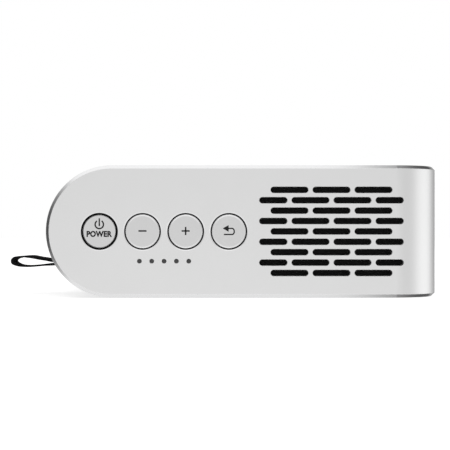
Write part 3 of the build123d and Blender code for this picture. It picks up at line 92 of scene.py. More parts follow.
class Socket:
    """One output of a shader graph. Arithmetic on it adds the nodes that work it out."""

    def __init__(self, graph: "Graph", link: bpy.types.NodeSocket) -> None:
        """Keeps the output and the graph that it is in."""
        self.graph = graph
        self.link = link

    def math(self, operation: str, *others: Value) -> "Socket":
        """A Math node on this value, whose second and third values are the others."""
        inputs = dict(zip(("Value", "Value_001", "Value_002"), (self, *others)))
        return self.graph.node("ShaderNodeMath", {"operation": operation}, inputs)

    __add__ = __radd__ = _operator("ADD")
    __mul__ = __rmul__ = _operator("MULTIPLY")
    __sub__, __rsub__ = _operator("SUBTRACT"), _operator("SUBTRACT", True)
    __truediv__, __pow__ = _operator("DIVIDE"), _operator("POWER")
    __gt__, __lt__ = _operator("GREATER_THAN"), _operator("LESS_THAN")

    def __abs__(self) -> "Socket":
        """This without its sign."""
        return self.math("ABSOLUTE")

    def wrap(self, pitch: Number) -> "Socket":
        """Repeats the value from -pitch/2 to pitch/2."""
        return self.math("WRAP", pitch / 2, -pitch / 2)

    def step(self, low: Number, high: Number, start: Number = 0.0, end: Number = 1.0) -> "Socket":
        """A smooth step from start, where this value is low, to end, where it is high."""
        return self.graph.node("ShaderNodeMapRange", {"interpolation_type": "SMOOTHSTEP"},
                               {"Value": self, "From Min": low, "From Max": high,
                                "To Min": start, "To Max": end})

    def hypot(self, other: "Socket") -> "Socket":
        """The length of the vector whose two parts are this and other."""
        return (self * self + other * other).math("SQRT")

    def parts(self) -> tuple["Socket", "Socket", "Socket"]:
        """The X, Y and Z of this vector."""
        split = self.graph.node("ShaderNodeSeparateXYZ", inputs={"Vector": self}).link.node
        return tuple(Socket(self.graph, output) for output in split.outputs)


class Graph:
    """The nodes of one material or of the world."""

    def __init__(self, tree: bpy.types.NodeTree) -> None:
        """Empties the tree."""
        self.tree = tree
        tree.nodes.clear()

    def node(self, kind: str, settings: Optional[Mapping[str, Any]] = None,
             inputs: Optional[Mapping[str, Any]] = None, output: str = "") -> Optional[Socket]:
        """Adds any node.

        Args:
            kind: its type.
            settings: its own settings, set first.
            inputs: values or links of its sockets, by identifier or name.
            output: the output that is wanted, or the first.

        Returns:
            That output, or None for a node that has none.
        """
        node = self.tree.nodes.new(kind)
        for name, value in (settings or {}).items():
            setattr(node, name, value)
        for name, value in (inputs or {}).items():
            socket = self._find(node.inputs, name)
            if isinstance(value, Socket):
                self.tree.links.new(value.link, socket)
            else:
                socket.default_value = value
        if not node.outputs:
            return None
        return Socket(self, self._find(node.outputs, output) if output else node.outputs[0])

    @staticmethod
    def _find(sockets: bpy.types.NodeInputs, name: str) -> bpy.types.NodeSocket:
        """The socket with that identifier, or the first enabled one with that name."""
        for socket in sockets:
            if socket.identifier == name:
                return socket
        return next(socket for socket in sockets if socket.name == name and socket.enabled)

    def coordinates(self, output: str = "Object") -> Socket:
        """The piece's own coordinates."""
        return self.node("ShaderNodeTexCoord", output=output)

    def placed(self, vector: Socket, centre: Sequence[float] = (0, 0, 0),
               turn: Sequence[float] = (0, 0, 0), scale: Sequence[float] = (1, 1, 1)) -> Socket:
        """Coordinates about a centre, for a pattern turned in radians and stretched along each axis."""
        return self.node("ShaderNodeMapping", {"vector_type": "TEXTURE"},
                         {"Vector": vector, "Location": centre, "Rotation": turn, "Scale": scale})

    def noise(self, vector: Socket, size: float, detail: float = 2.0, rough: float = 0.5) -> Socket:
        """Noise from 0 to 1 whose grains are about size across, in metres."""
        return self.node("ShaderNodeTexNoise", {"noise_dimensions": "3D"},
                         {"Vector": vector, "Scale": 1.0 / size, "Detail": detail, "Roughness": rough},
                         output="Fac")

    def cells(self, vector: Socket, size: float, feature: str = "F1", distance: str = "EUCLIDEAN",
              scatter: float = 1.0) -> Socket:
        """The distance to the nearest of scattered points, or to a cell's edge; the points lie size apart."""
        return self.node("ShaderNodeTexVoronoi", {"feature": feature, "distance": distance},
                         {"Vector": vector, "Scale": 1.0 / size, "Randomness": scatter}, output="Distance")

    def mix(self, factor: Value, first: Any, second: Any) -> Socket:
        """Two colours or links mixed: a factor of 0 gives the first, and 1 the second."""
        full = [c if isinstance(c, Socket) else (*c, 1.0) for c in (first, second)]
        return self.node("ShaderNodeMix", {"data_type": "RGBA"},
                         {"Factor_Float": factor, "A_Color": full[0], "B_Color": full[1]},
                         output="Result_Color")

    def tinted(self, colour: Colour, amount: Socket, depth: float) -> Socket:
        """A colour that darkens by depth where amount is 1."""
        darker = tuple(c * (1 - depth) for c in colour)
        return self.mix(amount, colour, darker)

    def bump(self, height: Socket, depth: float, strength: Value = 1.0,
             normal: Optional[Socket] = None) -> Socket:
        """A Bump node: height from 0 to 1 stands for depth, in metres."""
        inputs = {"Height": height, "Distance": depth, "Strength": strength}
        return self.node("ShaderNodeBump", inputs={**inputs, "Normal": normal} if normal else inputs)

    def turned(self, normal: Socket, start: str, end: str) -> Socket:
        """A normal moved from one space's axes to another's: OBJECT or WORLD."""
        spaces = {"vector_type": "NORMAL", "convert_from": start, "convert_to": end}
        return self.node("ShaderNodeVectorTransform", spaces, {"Vector": normal})

    def facing(self, x: Value, y: Value, z: Value) -> Socket:
        """A normal along a direction given in the object's own axes."""
        direction = self.node("ShaderNodeCombineXYZ", inputs={"X": x, "Y": y, "Z": z})
        return self.node("ShaderNodeVectorMath", {"operation": "NORMALIZE"},
                         {"Vector": self.turned(direction, "OBJECT", "WORLD")})

    def mix_vectors(self, factor: Socket, first: Socket, second: Socket) -> Socket:
        """Two vectors mixed by a factor."""
        return self.node("ShaderNodeMix", {"data_type": "VECTOR"},
                         {"Factor_Float": factor, "A_Vector": first, "B_Vector": second},
                         output="Result_Vector")

    def rays(self, kind: str) -> Socket:
        """1 for rays of a kind, such as Camera, else 0."""
        return self.node("ShaderNodeLightPath", output=f"Is {kind} Ray")

    def soft_edges(self, radius: float) -> Socket:
        """A normal that rounds every edge by that radius, in metres."""
        return self.node("ShaderNodeBevel", {"samples": 6}, {"Radius": radius})

    def near_edge(self, rounded: Socket, turned: float = 0.9, straight: float = 0.995) -> Socket:
        """1 at an edge, where a rounded normal's turn from the surface's own reaches a cosine, else 0."""
        own = self.node("ShaderNodeNewGeometry", output="Normal")
        facing = self.node("ShaderNodeVectorMath", {"operation": "DOT_PRODUCT"},
                           {"Vector": rounded, "Vector_001": own}, output="Value")
        return facing.step(turned, straight, 1.0, 0.0)


# --- finishes ---------------------------------------------
@dataclass(frozen=True)
class Finish:
    """What every finish has: its name, colour, roughness and gloss."""

    name: str
    colour: Colour
    roughness: float = 0.5
    gloss: float = 0.5

    def shade(self, graph: Graph) -> Inputs:
        """The inputs of the finish's one surface shader; each finish says its own."""
        raise NotImplementedError

    def times(self, share: float) -> Colour:
        """The finish's colour times a share."""
        return tuple(c * share for c in self.colour)

    def material(self) -> bpy.types.Material:
        """The finish as a material, made once."""
        found = bpy.data.materials.get(self.name)
        if found:
            return found
        made = bpy.data.materials.new(self.name)
        made.use_nodes = True
        made.diffuse_color = (*self.colour, 1.0)
        graph = Graph(made.node_tree)
        inputs = {"Specular IOR Level": self.gloss, **self.shade(graph)}
        surface = graph.node("ShaderNodeBsdfPrincipled", inputs=inputs)
        graph.node("ShaderNodeOutputMaterial", inputs={"Surface": surface})
        return made


@dataclass(frozen=True)
class BlastedMetal(Finish):
    """Bead-blasted, anodised aluminium: a fine even grain with hardly any variation."""

    grain: float = 0.12 * MM
    depth: float = 0.004 * MM
    edge: float = 0.25 * MM
    bright: Colour = (0.9, 0.9, 0.905)
    # The black of painted shade in gaps, holes and slot edges.
    black: Colour = (0.03, 0.03, 0.031)
    polish: float = 0.12

    def grained(self, graph: Graph, polished: Value = 0.0, painted_shade: Value = 0.0, worn: Value = 1.0,
                rounded: Optional[Socket] = None, relief: Optional[Socket] = None) -> Inputs:
        """The shader inputs of the blasted skin, rubbed bright where it is handled most, at its edges.

        Args:
            graph: the material's nodes.
            polished: 1 where the skin is polished instead.
            painted_shade: 1 where it is painted black, as painted shade.
            worn: 1 where its edges are rubbed bright.
            rounded: the normal with rounded edges, where there is one already.
            relief: the normal of a larger relief under the grain.
        """
        place = graph.coordinates()
        clouds = graph.noise(place, 9 * MM, 3.0)
        grain = graph.noise(place, self.grain, 2.0, 0.6)
        rounded = rounded or graph.soft_edges(self.edge)
        bright = (graph.near_edge(rounded) * 0.75 * worn + polished).math("MINIMUM", 1.0)
        colour = graph.mix(bright, graph.tinted(self.colour, clouds, 0.03), self.bright)
        rough = grain.step(0.3, 0.7, self.roughness - 0.03, self.roughness + 0.03)
        # Painted shade: the colour turns black where that mask is 1.
        return {"Base Color": graph.mix(painted_shade, colour, self.black),
                "Metallic": 1.0,
                "Roughness": rough + bright * (self.polish - self.roughness),
                "Normal": graph.bump(grain, self.depth, 1.0 - bright, rounded if relief is None else relief)}

    def shade(self, graph: Graph) -> Inputs:
        """Blasted all over."""
        return self.grained(graph)


@dataclass(frozen=True)
class StandMetal(BlastedMetal):
    """The stand's metal: blasted faces between chamfers that are cut and polished after blasting."""

    centre: Colour = (0.0, 0.0, 0.0)
    front: float = 107.1 * MM
    half_width: float = 73.0 * MM
    half_height: float = 21.5 * MM
    bend: float = 14.5 * MM
    chamfer: float = 1.1 * MM
    first_hole: float = -4.0 * MM
    hole_pitch: float = 14.0 * MM
    hole_radius: float = 5.95 * MM
    seat_radius: float = 6.02 * MM
    rim: float = 0.4 * MM
    speaker: tuple[float, float, float] = (46.0 * MM, 97.0 * MM, 16.0 * MM)

    def shade(self, graph: Graph) -> Inputs:
        """Polished chamfers; black inside the button holes and on the power button's seat, painted shadow for
        the gaps round the buttons; painted shade along the speaker slots' edges.

        A point is on a chamfer where its distance past the outline's edge, added to that past the outer face,
        is more than the chamfer takes away. It is in a hole within the hole's radius of its middle.
        """
        x, y, z = graph.placed(graph.coordinates(), self.centre).parts()
        along = x - (self.front - self.bend)
        aside = abs(y) - (self.half_width - self.bend)
        outside = along.math("MAXIMUM", 0.0).hypot(aside.math("MAXIMUM", 0.0))
        past_face = outside + along.math("MAXIMUM", aside).math("MINIMUM", 0.0) - self.bend
        past_edge = x.math("MINIMUM", 0.0).hypot(z) - self.half_height
        polished = (past_face + past_edge) > -(self.chamfer + 0.03 * MM)
        from_first = x - self.first_hole
        in_row = (from_first > -self.hole_pitch / 2) * (from_first < self.hole_pitch * 3.5)
        from_hole = from_first.wrap(self.hole_pitch).hypot(z)
        # Painted shadow: the button holes' walls and the power button's seat are painted black for the shade
        # in the gaps round the buttons.
        hole = (from_hole < (self.hole_radius + 0.02 * MM)) * in_row
        seat = from_first.hypot(z) < self.seat_radius
        near = in_row * (y < 0.0)
        rise = from_hole.step(self.hole_radius, self.hole_radius + self.rim)
        speaker = (x > self.speaker[0]) * (x < self.speaker[1]) * (abs(z) < self.speaker[2])
        rounded = graph.soft_edges(self.edge)
        # Painted shade along the speaker slots' edges, only 55% dark where the rounded normal leans towards
        # -X, at the slots' right ends: painted light on their inner walls.
        lean = graph.turned(rounded, "WORLD", "OBJECT").parts()[0]
        painted_slot_shade = graph.near_edge(rounded, 0.9, 0.975) * speaker * lean.step(-0.6, -0.2, 0.55, 1.0)
        inward = graph.facing(from_first.wrap(self.hole_pitch) * -1, from_hole * -1.9, z * -1)
        countersink = (rise < 0.98) * near
        # All painted shade in one mask: holes, seat and slot edges.
        black = (hole.math("MAXIMUM", seat) * (y < 0.0)).math("MAXIMUM", painted_slot_shade)
        return self.grained(graph, polished.math("MAXIMUM", countersink), black, 1.0 - speaker, rounded,
                            graph.mix_vectors(countersink, rounded, inward))


@dataclass(frozen=True)
class ButtonMetal(BlastedMetal):
    """A button cap: a blasted face inside a bevel, its outer band polished bright as a painted highlight,
    over a black skirt that is painted shadow.
    """

    centre: Colour = (0.0, 0.0, 0.0)
    radius: float = 5.7 * MM
    bevel: float = 0.35 * MM
    band: float = 0.7 * MM
    face: float = -73.0 * MM
    in_ring: bool = False

    def shade(self, graph: Graph) -> Inputs:
        """Polished in the bright band as a painted highlight, most at the top where light from above would
        catch it and less at the bottom; black deeper than the bevel, as painted shadow.

        A cap in a ring has no band and is shaded flat up to its edge.
        """
        x, y, z = graph.placed(graph.coordinates(), self.centre).parts()
        if self.in_ring:
            return self.grained(graph, worn=0.0, rounded=graph.facing(0.0, -1.0, 0.0))
        turned = x.hypot(z).step(self.radius - self.band - 0.1 * MM, self.radius - self.band + 0.1 * MM)
        # Painted highlight: the band's polish is strongest at the top of the cap and weaker at the bottom.
        rise = z / self.radius
        share = rise.step(0.25, 0.75) + (-1 * rise).step(0.3, 0.95) * 0.6
        # Painted shadow: black deeper than the bevel, in the gap round the cap.
        return self.grained(graph, turned * share, y > (self.face - self.centre[1] + self.bevel))


@dataclass(frozen=True)
class LippedRing(Finish):
    """A black plastic ring whose inner lip is bright metal."""

    centre: Colour = (0.0, 0.0, 0.0)
    lip: float = 5.34 * MM

    def shade(self, graph: Graph) -> Inputs:
        """Metal nearer the middle than the lip's radius, plastic outside it."""
        place = graph.placed(graph.coordinates(), self.centre)
        x, _, z = place.parts()
        lip = x.hypot(z).step(self.lip - 0.03 * MM, self.lip + 0.03 * MM, 1.0, 0.0)
        grains = graph.noise(place, 0.1 * MM)
        return {"Base Color": graph.mix(lip, graph.tinted(self.colour, grains, 0.2), (0.8, 0.8, 0.8)),
                "Metallic": lip,
                "Roughness": self.roughness + (grains - 0.5) * 0.1,
                "Normal": graph.bump(grains, 0.003 * MM, 1.0, graph.soft_edges(0.1 * MM))}


class Grain(Enum):
    """Which way a machined surface's fine lines run."""

    ALONG_X = (40.0, 1.0, 1.0)
    ALONG_Y = (1.0, 40.0, 1.0)
    ALONG_Z = (1.0, 1.0, 40.0)
    NONE = (1.0, 1.0, 1.0)


@dataclass(frozen=True)
class MachinedMetal(Finish):
    """Bare metal with the fine lines that its tool left, and a little tarnish."""

    grain: Grain = Grain.ALONG_X
    line: float = 0.08 * MM
    depth: float = 0.002 * MM
    tarnish: float = 0.18

    def shade(self, graph: Graph) -> Inputs:
        """Noise stretched along the lines, and clouds of tarnish."""
        place = graph.coordinates()
        lines = graph.noise(graph.placed(place, scale=self.grain.value), self.line, 2.0)
        clouds = graph.noise(place, 3.5 * MM, 4.0, 0.6)
        return {"Base Color": graph.tinted(self.colour, clouds.step(0.35, 0.75), self.tarnish),
                "Metallic": 1.0,
                "Roughness": self.roughness + (lines - 0.5) * 0.22 + clouds.step(0.4, 0.8) * 0.08,
                "Normal": graph.bump(lines, self.depth, 1.0, graph.soft_edges(0.08 * MM))}


@dataclass(frozen=True)
class MouldedPlastic(Finish):
    """Moulded plastic with a spark-eroded texture, its high points a little rubbed."""

    grain: float = 0.22 * MM
    depth: float = 0.012 * MM
    edge: float = 0.2 * MM

    def shade(self, graph: Graph) -> Inputs:
        """Fine rounded grains; their tops are smoother, and the sheen drifts over the surface."""
        place = graph.coordinates()
        grains = graph.noise(place, self.grain, 2.0, 0.55)
        drift = graph.noise(place, 14 * MM, 3.0)
        return {"Base Color": graph.tinted(self.colour, grains.step(0.35, 0.7), 0.22),
                "Roughness": self.roughness + (0.5 - grains) * 0.16 + (drift - 0.5) * 0.08,
                "Normal": graph.bump(grains, self.depth, 1.0, graph.soft_edges(self.edge))}


class GlossPlastic(Finish):
    """Clear-coated gloss plastic with the faint haze that wiping leaves."""

    def shade(self, graph: Graph) -> Inputs:
        """Nearly flat, with a trace of orange peel under the gloss."""
        place = graph.coordinates()
        haze = graph.noise(graph.placed(place, scale=(6.0, 6.0, 1.0)), 2.0 * MM, 4.0, 0.65)
        peel = graph.noise(place, 1.6 * MM, 1.0)
        return {"Base Color": graph.tinted(self.colour, haze, 0.2),
                "Roughness": haze.step(0.45, 0.85, self.roughness, self.roughness + 0.1),
                "Coat Weight": 0.3,
                "Coat Roughness": 0.03,
                "Normal": graph.bump(peel, 0.002 * MM, 1.0, graph.soft_edges(0.15 * MM))}


class Weave(Enum):
    """Which two of a piece's axes its threads run along."""

    FACE = (0, 2)
    RIBBON = (0, 1)


@dataclass(frozen=True)
class Cloth(Finish):
    """Woven cloth: two sets of rounded threads that pass over and under each other."""

    thread: float = 0.32 * MM
    depth: float = 0.1 * MM
    weave: Weave = Weave.FACE
    # How much lighter the thread tops are painted: painted light.
    painted_top_light: float = 2.4
    sheen: float = 0.1

    def shade(self, graph: Graph) -> Inputs:
        """Each thread is an arch across its width; a chequer of the two counts says which is on top. The tops
        are painted lighter and the hollows between threads darker: painted light and shade.
        """
        place = graph.coordinates("UV" if self.weave is Weave.RIBBON else "Object")
        parts = place.parts()
        warp, weft = (parts[i] / self.thread for i in self.weave.value)
        over = (warp.math("FLOOR") + weft.math("FLOOR")).math("PINGPONG", 1.0)
        across, along = (abs(v.wrap(1.0)) for v in (warp - 0.5, weft - 0.5))
        warp_arch = (1 - (across * 2) ** 2) * (1 - along * 0.7)
        weft_arch = (1 - (along * 2) ** 2) * (1 - across * 0.7)
        height = over * warp_arch + (1 - over) * weft_arch
        fuzz = graph.noise(place, self.thread * 0.4, 2.0, 0.7)
        # Painted light and shade: thread tops lighter, hollows between threads darker.
        painted_thread_light = (height * 0.8 + fuzz * 0.25).math("MINIMUM", 1.0)
        return {"Base Color": graph.mix(painted_thread_light, self.times(0.3), self.times(self.painted_top_light)),
                "Roughness": self.roughness + (fuzz - 0.5) * 0.2,
                "Sheen Weight": self.sheen,
                "Sheen Roughness": 0.5,
                "Normal": graph.bump(height + fuzz * 0.25, self.depth)}


class Felt(Finish):
    """Short felted nap."""

    def shade(self, graph: Graph) -> Inputs:
        """Tangled fibres: stretched noise in two directions over soft clumps."""
        place = graph.coordinates()
        one = graph.noise(graph.placed(place, turn=(0.3, 0.2, 0.7), scale=(1, 6, 1)), 0.12 * MM, 2.0, 0.7)
        two = graph.noise(graph.placed(place, turn=(0.9, 1.1, 0.2), scale=(5, 1, 1)), 0.12 * MM, 2.0, 0.7)
        clumps = graph.noise(place, 1.8 * MM, 3.0)
        nap = (one.math("MAXIMUM", two) + clumps * 0.5) / 1.5
        return {"Base Color": graph.mix(nap.step(0.3, 0.8), self.times(0.45), self.times(1.5)),
                "Roughness": self.roughness,
                "Sheen Weight": 0.5,
                "Sheen Roughness": 0.4,
                "Normal": graph.bump(nap, 0.15 * MM)}


@dataclass(frozen=True)
class Perforated(Finish):
    """Thin black sheet, etched with staggered round holes."""

    pitch: float = 0.9 * MM
    hole: float = 0.29

    def shade(self, graph: Graph) -> Inputs:
        """Two rectangular grids of dots, the second half a pitch along both ways; each dot is painted
        near-black, painted shade for the dark seen through the hole.
        """
        x, _, z = graph.coordinates().parts()
        squash = 3 ** 0.5
        u, v = x / self.pitch, z / (self.pitch * squash)
        first = u.wrap(1.0).hypot(v.wrap(1.0) * squash)
        second = (u - 0.5).wrap(1.0).hypot((v - 0.5).wrap(1.0) * squash)
        solid = first.math("MINIMUM", second).step(self.hole - 0.04, self.hole + 0.04)
        grain = graph.noise(graph.coordinates(), 0.15 * MM)
        # Painted shade: the holes are near-black.
        return {"Base Color": graph.mix(solid, (0.001, 0.001, 0.001), self.colour),
                "Roughness": self.roughness + (grain - 0.5) * 0.15 + (1 - solid) * 0.3,
                "Metallic": solid * 0.3,
                "Normal": graph.bump(solid, 0.25 * MM)}


class Rubber(Finish):
    """Matt rubber with a dusty bloom."""

    def shade(self, graph: Graph) -> Inputs:
        """A soft skin, bloom in clouds, and fine pits."""
        place = graph.coordinates()
        bloom = graph.noise(place, 6 * MM, 4.0, 0.6)
        pits = graph.noise(place, 0.18 * MM, 2.0, 0.6)
        return {"Base Color": graph.mix(bloom.step(0.2, 0.9), self.colour, self.times(1.35)),
                "Roughness": self.roughness + (pits - 0.5) * 0.14,
                "Normal": graph.bump(pits, 0.01 * MM, 1.0, graph.soft_edges(0.25 * MM))}


@dataclass(frozen=True)
class CircuitBoard(Finish):
    """Solder mask over copper tracks, with pads and small black parts drawn on it."""

    cell: float = 3.2 * MM
    scatter: float = 0.35

    def shade(self, graph: Graph) -> Inputs:
        """Tracks follow the edges of square-ish cells; pads and chips fill some of the cells."""
        place = graph.coordinates()
        edges = graph.cells(place, self.cell, "DISTANCE_TO_EDGE", scatter=self.scatter)
        cell = graph.cells(place, self.cell, distance="CHEBYCHEV", scatter=self.scatter)
        tracks = edges.step(0.05, 0.08, 1.0, 0.0)
        pads = cell.step(0.1, 0.13, 1.0, 0.0)
        lighter = tuple(min(1.0, c * 2.2 + 0.01) for c in self.colour)
        mask = graph.mix(tracks, self.colour, lighter)
        return {"Base Color": graph.mix(pads, mask, (0.62, 0.6, 0.55)),
                "Metallic": pads * 0.9,
                "Roughness": self.roughness - tracks * 0.08,
                "Normal": graph.bump(tracks.math("MAXIMUM", pads), 0.03 * MM)}


class CoatedGlass(Finish):
    """Lens glass under a thin coating that turns its reflections violet."""

    def shade(self, graph: Graph) -> Inputs:
        """Clear glass with a few specks of dust."""
        dust = graph.cells(graph.coordinates(), 1.4 * MM).step(0.02, 0.06, 1.0, 0.0)
        return {"Base Color": graph.mix(dust, self.colour, (0.6, 0.6, 0.6)),
                "Roughness": self.roughness + dust * 0.4,
                "Transmission Weight": 0.85,
                "IOR": 1.6,
                "Thin Film Thickness": 112.0,
                "Thin Film IOR": 1.38,
                "Coat Weight": 0.3}


class ShrinkWrap(Finish):
    """Thin plastic film, shrunk tight, with small creases."""

    def shade(self, graph: Graph) -> Inputs:
        """Creases are the valleys of stretched noise, painted darker as painted shade."""
        place = graph.coordinates()
        creases = graph.noise(graph.placed(place, scale=(1.0, 7.0, 2.0)), 1.5 * MM, 3.0, 0.6)
        # Painted shade: darker in the creases.
        return {"Base Color": graph.tinted(self.colour, creases.step(0.4, 0.6), 0.3),
                "Roughness": creases.step(0.3, 0.7, self.roughness, self.roughness + 0.15),
                "Coat Weight": 0.3,
                "Normal": graph.bump(creases, 0.05 * MM)}


class PrintedInk(Finish):
    """Pad-printed ink, very slightly uneven in depth."""

    def shade(self, graph: Graph) -> Inputs:
        """Fine speckle in colour and gloss."""
        speckle = graph.noise(graph.coordinates(), 0.09 * MM, 2.0, 0.6)
        return {"Base Color": graph.tinted(self.colour, speckle, 0.3),
                "Roughness": self.roughness + (speckle - 0.5) * 0.2}


class Finishes:
    """Every finish of the part, by the record's slot where it has one."""

    STAND = StandMetal("stand_metal_blasted", (0.80, 0.80, 0.80), 0.36)
    BUTTON = (0.70, 0.70, 0.70)
    BY_SLOT: Mapping[str, Finish] = {
        "steel": MachinedMetal("steel_turned", (0.6, 0.61, 0.62), 0.3),
        "copper": MachinedMetal("copper_drawn", (0.72, 0.43, 0.27), 0.27, grain=Grain.ALONG_Y, tarnish=0.35),
        "brass": MachinedMetal("brass_turned", (0.76, 0.62, 0.33), 0.24),
        "sink_metal": MachinedMetal("fin_aluminium", (0.7, 0.71, 0.72), 0.34, grain=Grain.ALONG_Z),
        "socket_shell": MachinedMetal("tinned_shell", (0.6, 0.6, 0.61), 0.25),
        "trim_metal": MachinedMetal("trim_polished", (0.55, 0.56, 0.58), 0.1, grain=Grain.NONE, tarnish=0.06),
        "body_plastic": MouldedPlastic("body_texture", (0.055, 0.056, 0.06), 0.5),
        "inner_plastic": MouldedPlastic("inner_moulding", (0.03, 0.03, 0.032), 0.42, depth=0.004 * MM),
        "ring_plastic": MouldedPlastic("ring_black", (0.0015, 0.0015, 0.0016), 0.4, 0.06,
                                       depth=0.003 * MM, edge=0.1 * MM),
        "speaker_box": MouldedPlastic("speaker_moulding", (0.04, 0.04, 0.042), 0.45),
        "jack_plastic": MouldedPlastic("jack_moulding", (0.02, 0.02, 0.02), 0.38, depth=0.003 * MM),
        "lens_black": MouldedPlastic("anodised_black", (0.015, 0.015, 0.016), 0.34, depth=0.003 * MM),
        "panel_gloss": GlossPlastic("panel_piano_black", (0.006, 0.006, 0.007), 0.06, 0.25),
        "tinted_window": GlossPlastic("window_dark_red", (0.045, 0.005, 0.008), 0.05, 0.25),
        "light_pipe": GlossPlastic("light_pipe_smoke", (0.026, 0.026, 0.027), 0.22),
        "led_chip": GlossPlastic("led_pale", (0.85, 0.82, 0.6), 0.25),
        "board_green": CircuitBoard("solder_mask", (0.012, 0.11, 0.05), 0.3),
        "rubber": Rubber("rubber_matt", (0.02, 0.02, 0.021), 0.62, 0.35),
        "felt": Felt("felt_nap", (0.05, 0.05, 0.05), 0.95),
        "grille_fabric": Cloth("grille_cloth_woven", (0.008, 0.008, 0.008), 0.85, 0.1),
        "strap_weave": Cloth("strap_cloth", (0.012, 0.012, 0.013), 0.7, weave=Weave.RIBBON),
        "mesh_metal": Perforated("speaker_sheet", (0.02, 0.02, 0.02), 0.45),
        "lens_glass": CoatedGlass("lens_coated", (0.4, 0.45, 0.62), 0.02),
        "battery_wrap": ShrinkWrap("battery_film", (0.04, 0.09, 0.24), 0.3),
    }
    RIBBON = Cloth("strap_ribbon", (0.006, 0.006, 0.0065), 0.8, 0.08, thread=0.42 * MM,
                   weave=Weave.RIBBON, sheen=0.02)
    INK = PrintedInk("legend_ink", (0.012, 0.012, 0.0125), 0.5, 0.25)


# --- surfaces ---------------------------------------------
def put_in_scene(name: str, data: bpy.types.ID) -> bpy.types.Object:
    """A new object with that data, in the scene."""
    made = bpy.data.objects.new(name, data)
    bpy.context.scene.collection.objects.link(made)
    return made


class Surface:
    """Makes closed meshes from grids of points."""

    @staticmethod
    def mesh(name: str, points: np.ndarray, faces: list[list[int]], finish: Finish) -> bpy.types.Object:
        """Puts a mesh in the scene, from points in metres, smooth but for its sharp edges."""
        data = bpy.data.meshes.new(name)
        data.from_pydata(points.tolist(), [], faces)
        shape = bmesh.new()
        shape.from_mesh(data)
        bmesh.ops.recalc_face_normals(shape, faces=shape.faces)
        shape.to_mesh(data)
        shape.free()
        data.shade_smooth()
        data.set_sharp_from_angle(angle=SHARP_EDGE)
        data.materials.append(finish.material())
        return put_in_scene(name, data)

    @staticmethod
    def tube_faces(rows: int, columns: int) -> list[list[int]]:
        """A tube's faces: quads between each profile, or row, and the next, and the two ends."""
        row, column = np.arange(rows - 1)[:, None], np.arange(columns)[None, :]
        here, beside = row * columns + column, row * columns + (column + 1) % columns
        corners = np.broadcast_arrays(here, beside, beside + columns, here + columns)
        quads = np.stack(corners, axis=-1).reshape(-1, 4).tolist()
        return quads + [list(range(columns)), list(range((rows - 1) * columns, rows * columns))]

    @staticmethod
    def directions(path: np.ndarray) -> np.ndarray:
        """The way that a path runs at each of its points."""
        run = np.gradient(path, axis=0)
        return run / np.linalg.norm(run, axis=1, keepdims=True)

    @classmethod
    def sweep(cls, name: str, path: np.ndarray, side: np.ndarray, up: np.ndarray, profile: np.ndarray,
              finish: Finish, widths: Optional[np.ndarray] = None) -> bpy.types.Object:
        """A profile carried along a path.

        A point is the path's point, plus the profile's first number times side, plus its second times up.

        Args:
            name: the piece's name.
            path: its points, in metres.
            side: the direction, or each point's, of the profile's first number.
            up: the same for its second number.
            profile: the closed outline, in metres, or one for each point of the path.
            finish: the piece's finish.
            widths: what the profile's first number is multiplied by at each point.

        Returns:
            The piece, with a UV map of the distances along the path and round the profile, in metres.
        """
        rows, columns = len(path), profile.shape[-2]
        wide = np.ones(rows) if widths is None else widths
        outlines = np.broadcast_to(profile, (rows, columns, 2))
        side, up = (np.broadcast_to(way, path.shape)[:, None] for way in (side, up))
        points = path[:, None] + (outlines[..., :1] * wide[:, None, None]) * side + outlines[..., 1:] * up
        piece = cls.mesh(name, points.reshape(-1, 3), cls.tube_faces(rows, columns), finish)
        closed = np.vstack([outlines[0], outlines[0, :1]])
        run, girth = (np.concatenate([[0.0], np.cumsum(np.linalg.norm(np.diff(line, axis=0), axis=1))])
                      for line in (path, closed))
        cls._set_uv(piece.data, run, girth, columns)
        return piece

    @staticmethod
    def _set_uv(data: bpy.types.Mesh, run: np.ndarray, girth: np.ndarray, columns: int) -> None:
        """Writes the UV map: distance along the path, and round the profile without a seam's jump."""
        corners = np.zeros(len(data.loops), np.int64)
        starts, totals = np.zeros((2, len(data.polygons)), np.int64)
        data.loops.foreach_get("vertex_index", corners)
        data.polygons.foreach_get("loop_start", starts)
        data.polygons.foreach_get("loop_total", totals)
        row, column = corners // columns, corners % columns
        face = np.repeat(np.arange(len(starts)), totals)
        highest = np.maximum.reduceat(column, starts)[face]
        seam = (column == 0) & (highest == columns - 1) & (totals[face] == 4)
        uv = np.stack([run[row], np.where(seam, girth[columns], girth[column])], axis=-1)
        data.uv_layers.new(name="UVMap").data.foreach_set("uv", uv.astype(np.float32).ravel())


class Outline:
    """Closed profiles for sweeps."""

    @staticmethod
    def rounded(width: float, height: float, corner: float, steps: int = 4) -> np.ndarray:
        """A rectangle with rounded corners: four quarter circles about a smaller rectangle's corners."""
        turns = np.linspace(0, np.pi / 2, steps) + np.arange(4)[:, None] * np.pi / 2
        signs = np.array([(1, 1), (-1, 1), (-1, -1), (1, -1)], float)
        middle = signs * np.array([width / 2 - corner, height / 2 - corner])
        arcs = np.stack([np.cos(turns), np.sin(turns)], axis=-1) * corner + middle[:, None]
        return arcs.reshape(-1, 2)

    @staticmethod
    def stroke(width: float, proud: float, sunk: float) -> np.ndarray:
        """A printed line's section: flat below, and its upper corners cut."""
        half, cut = width / 2, proud * 0.6
        return np.array([(-half, -sunk), (half, -sunk), (half, proud - cut), (half - cut, proud),
                         (cut - half, proud), (-half, proud - cut)])


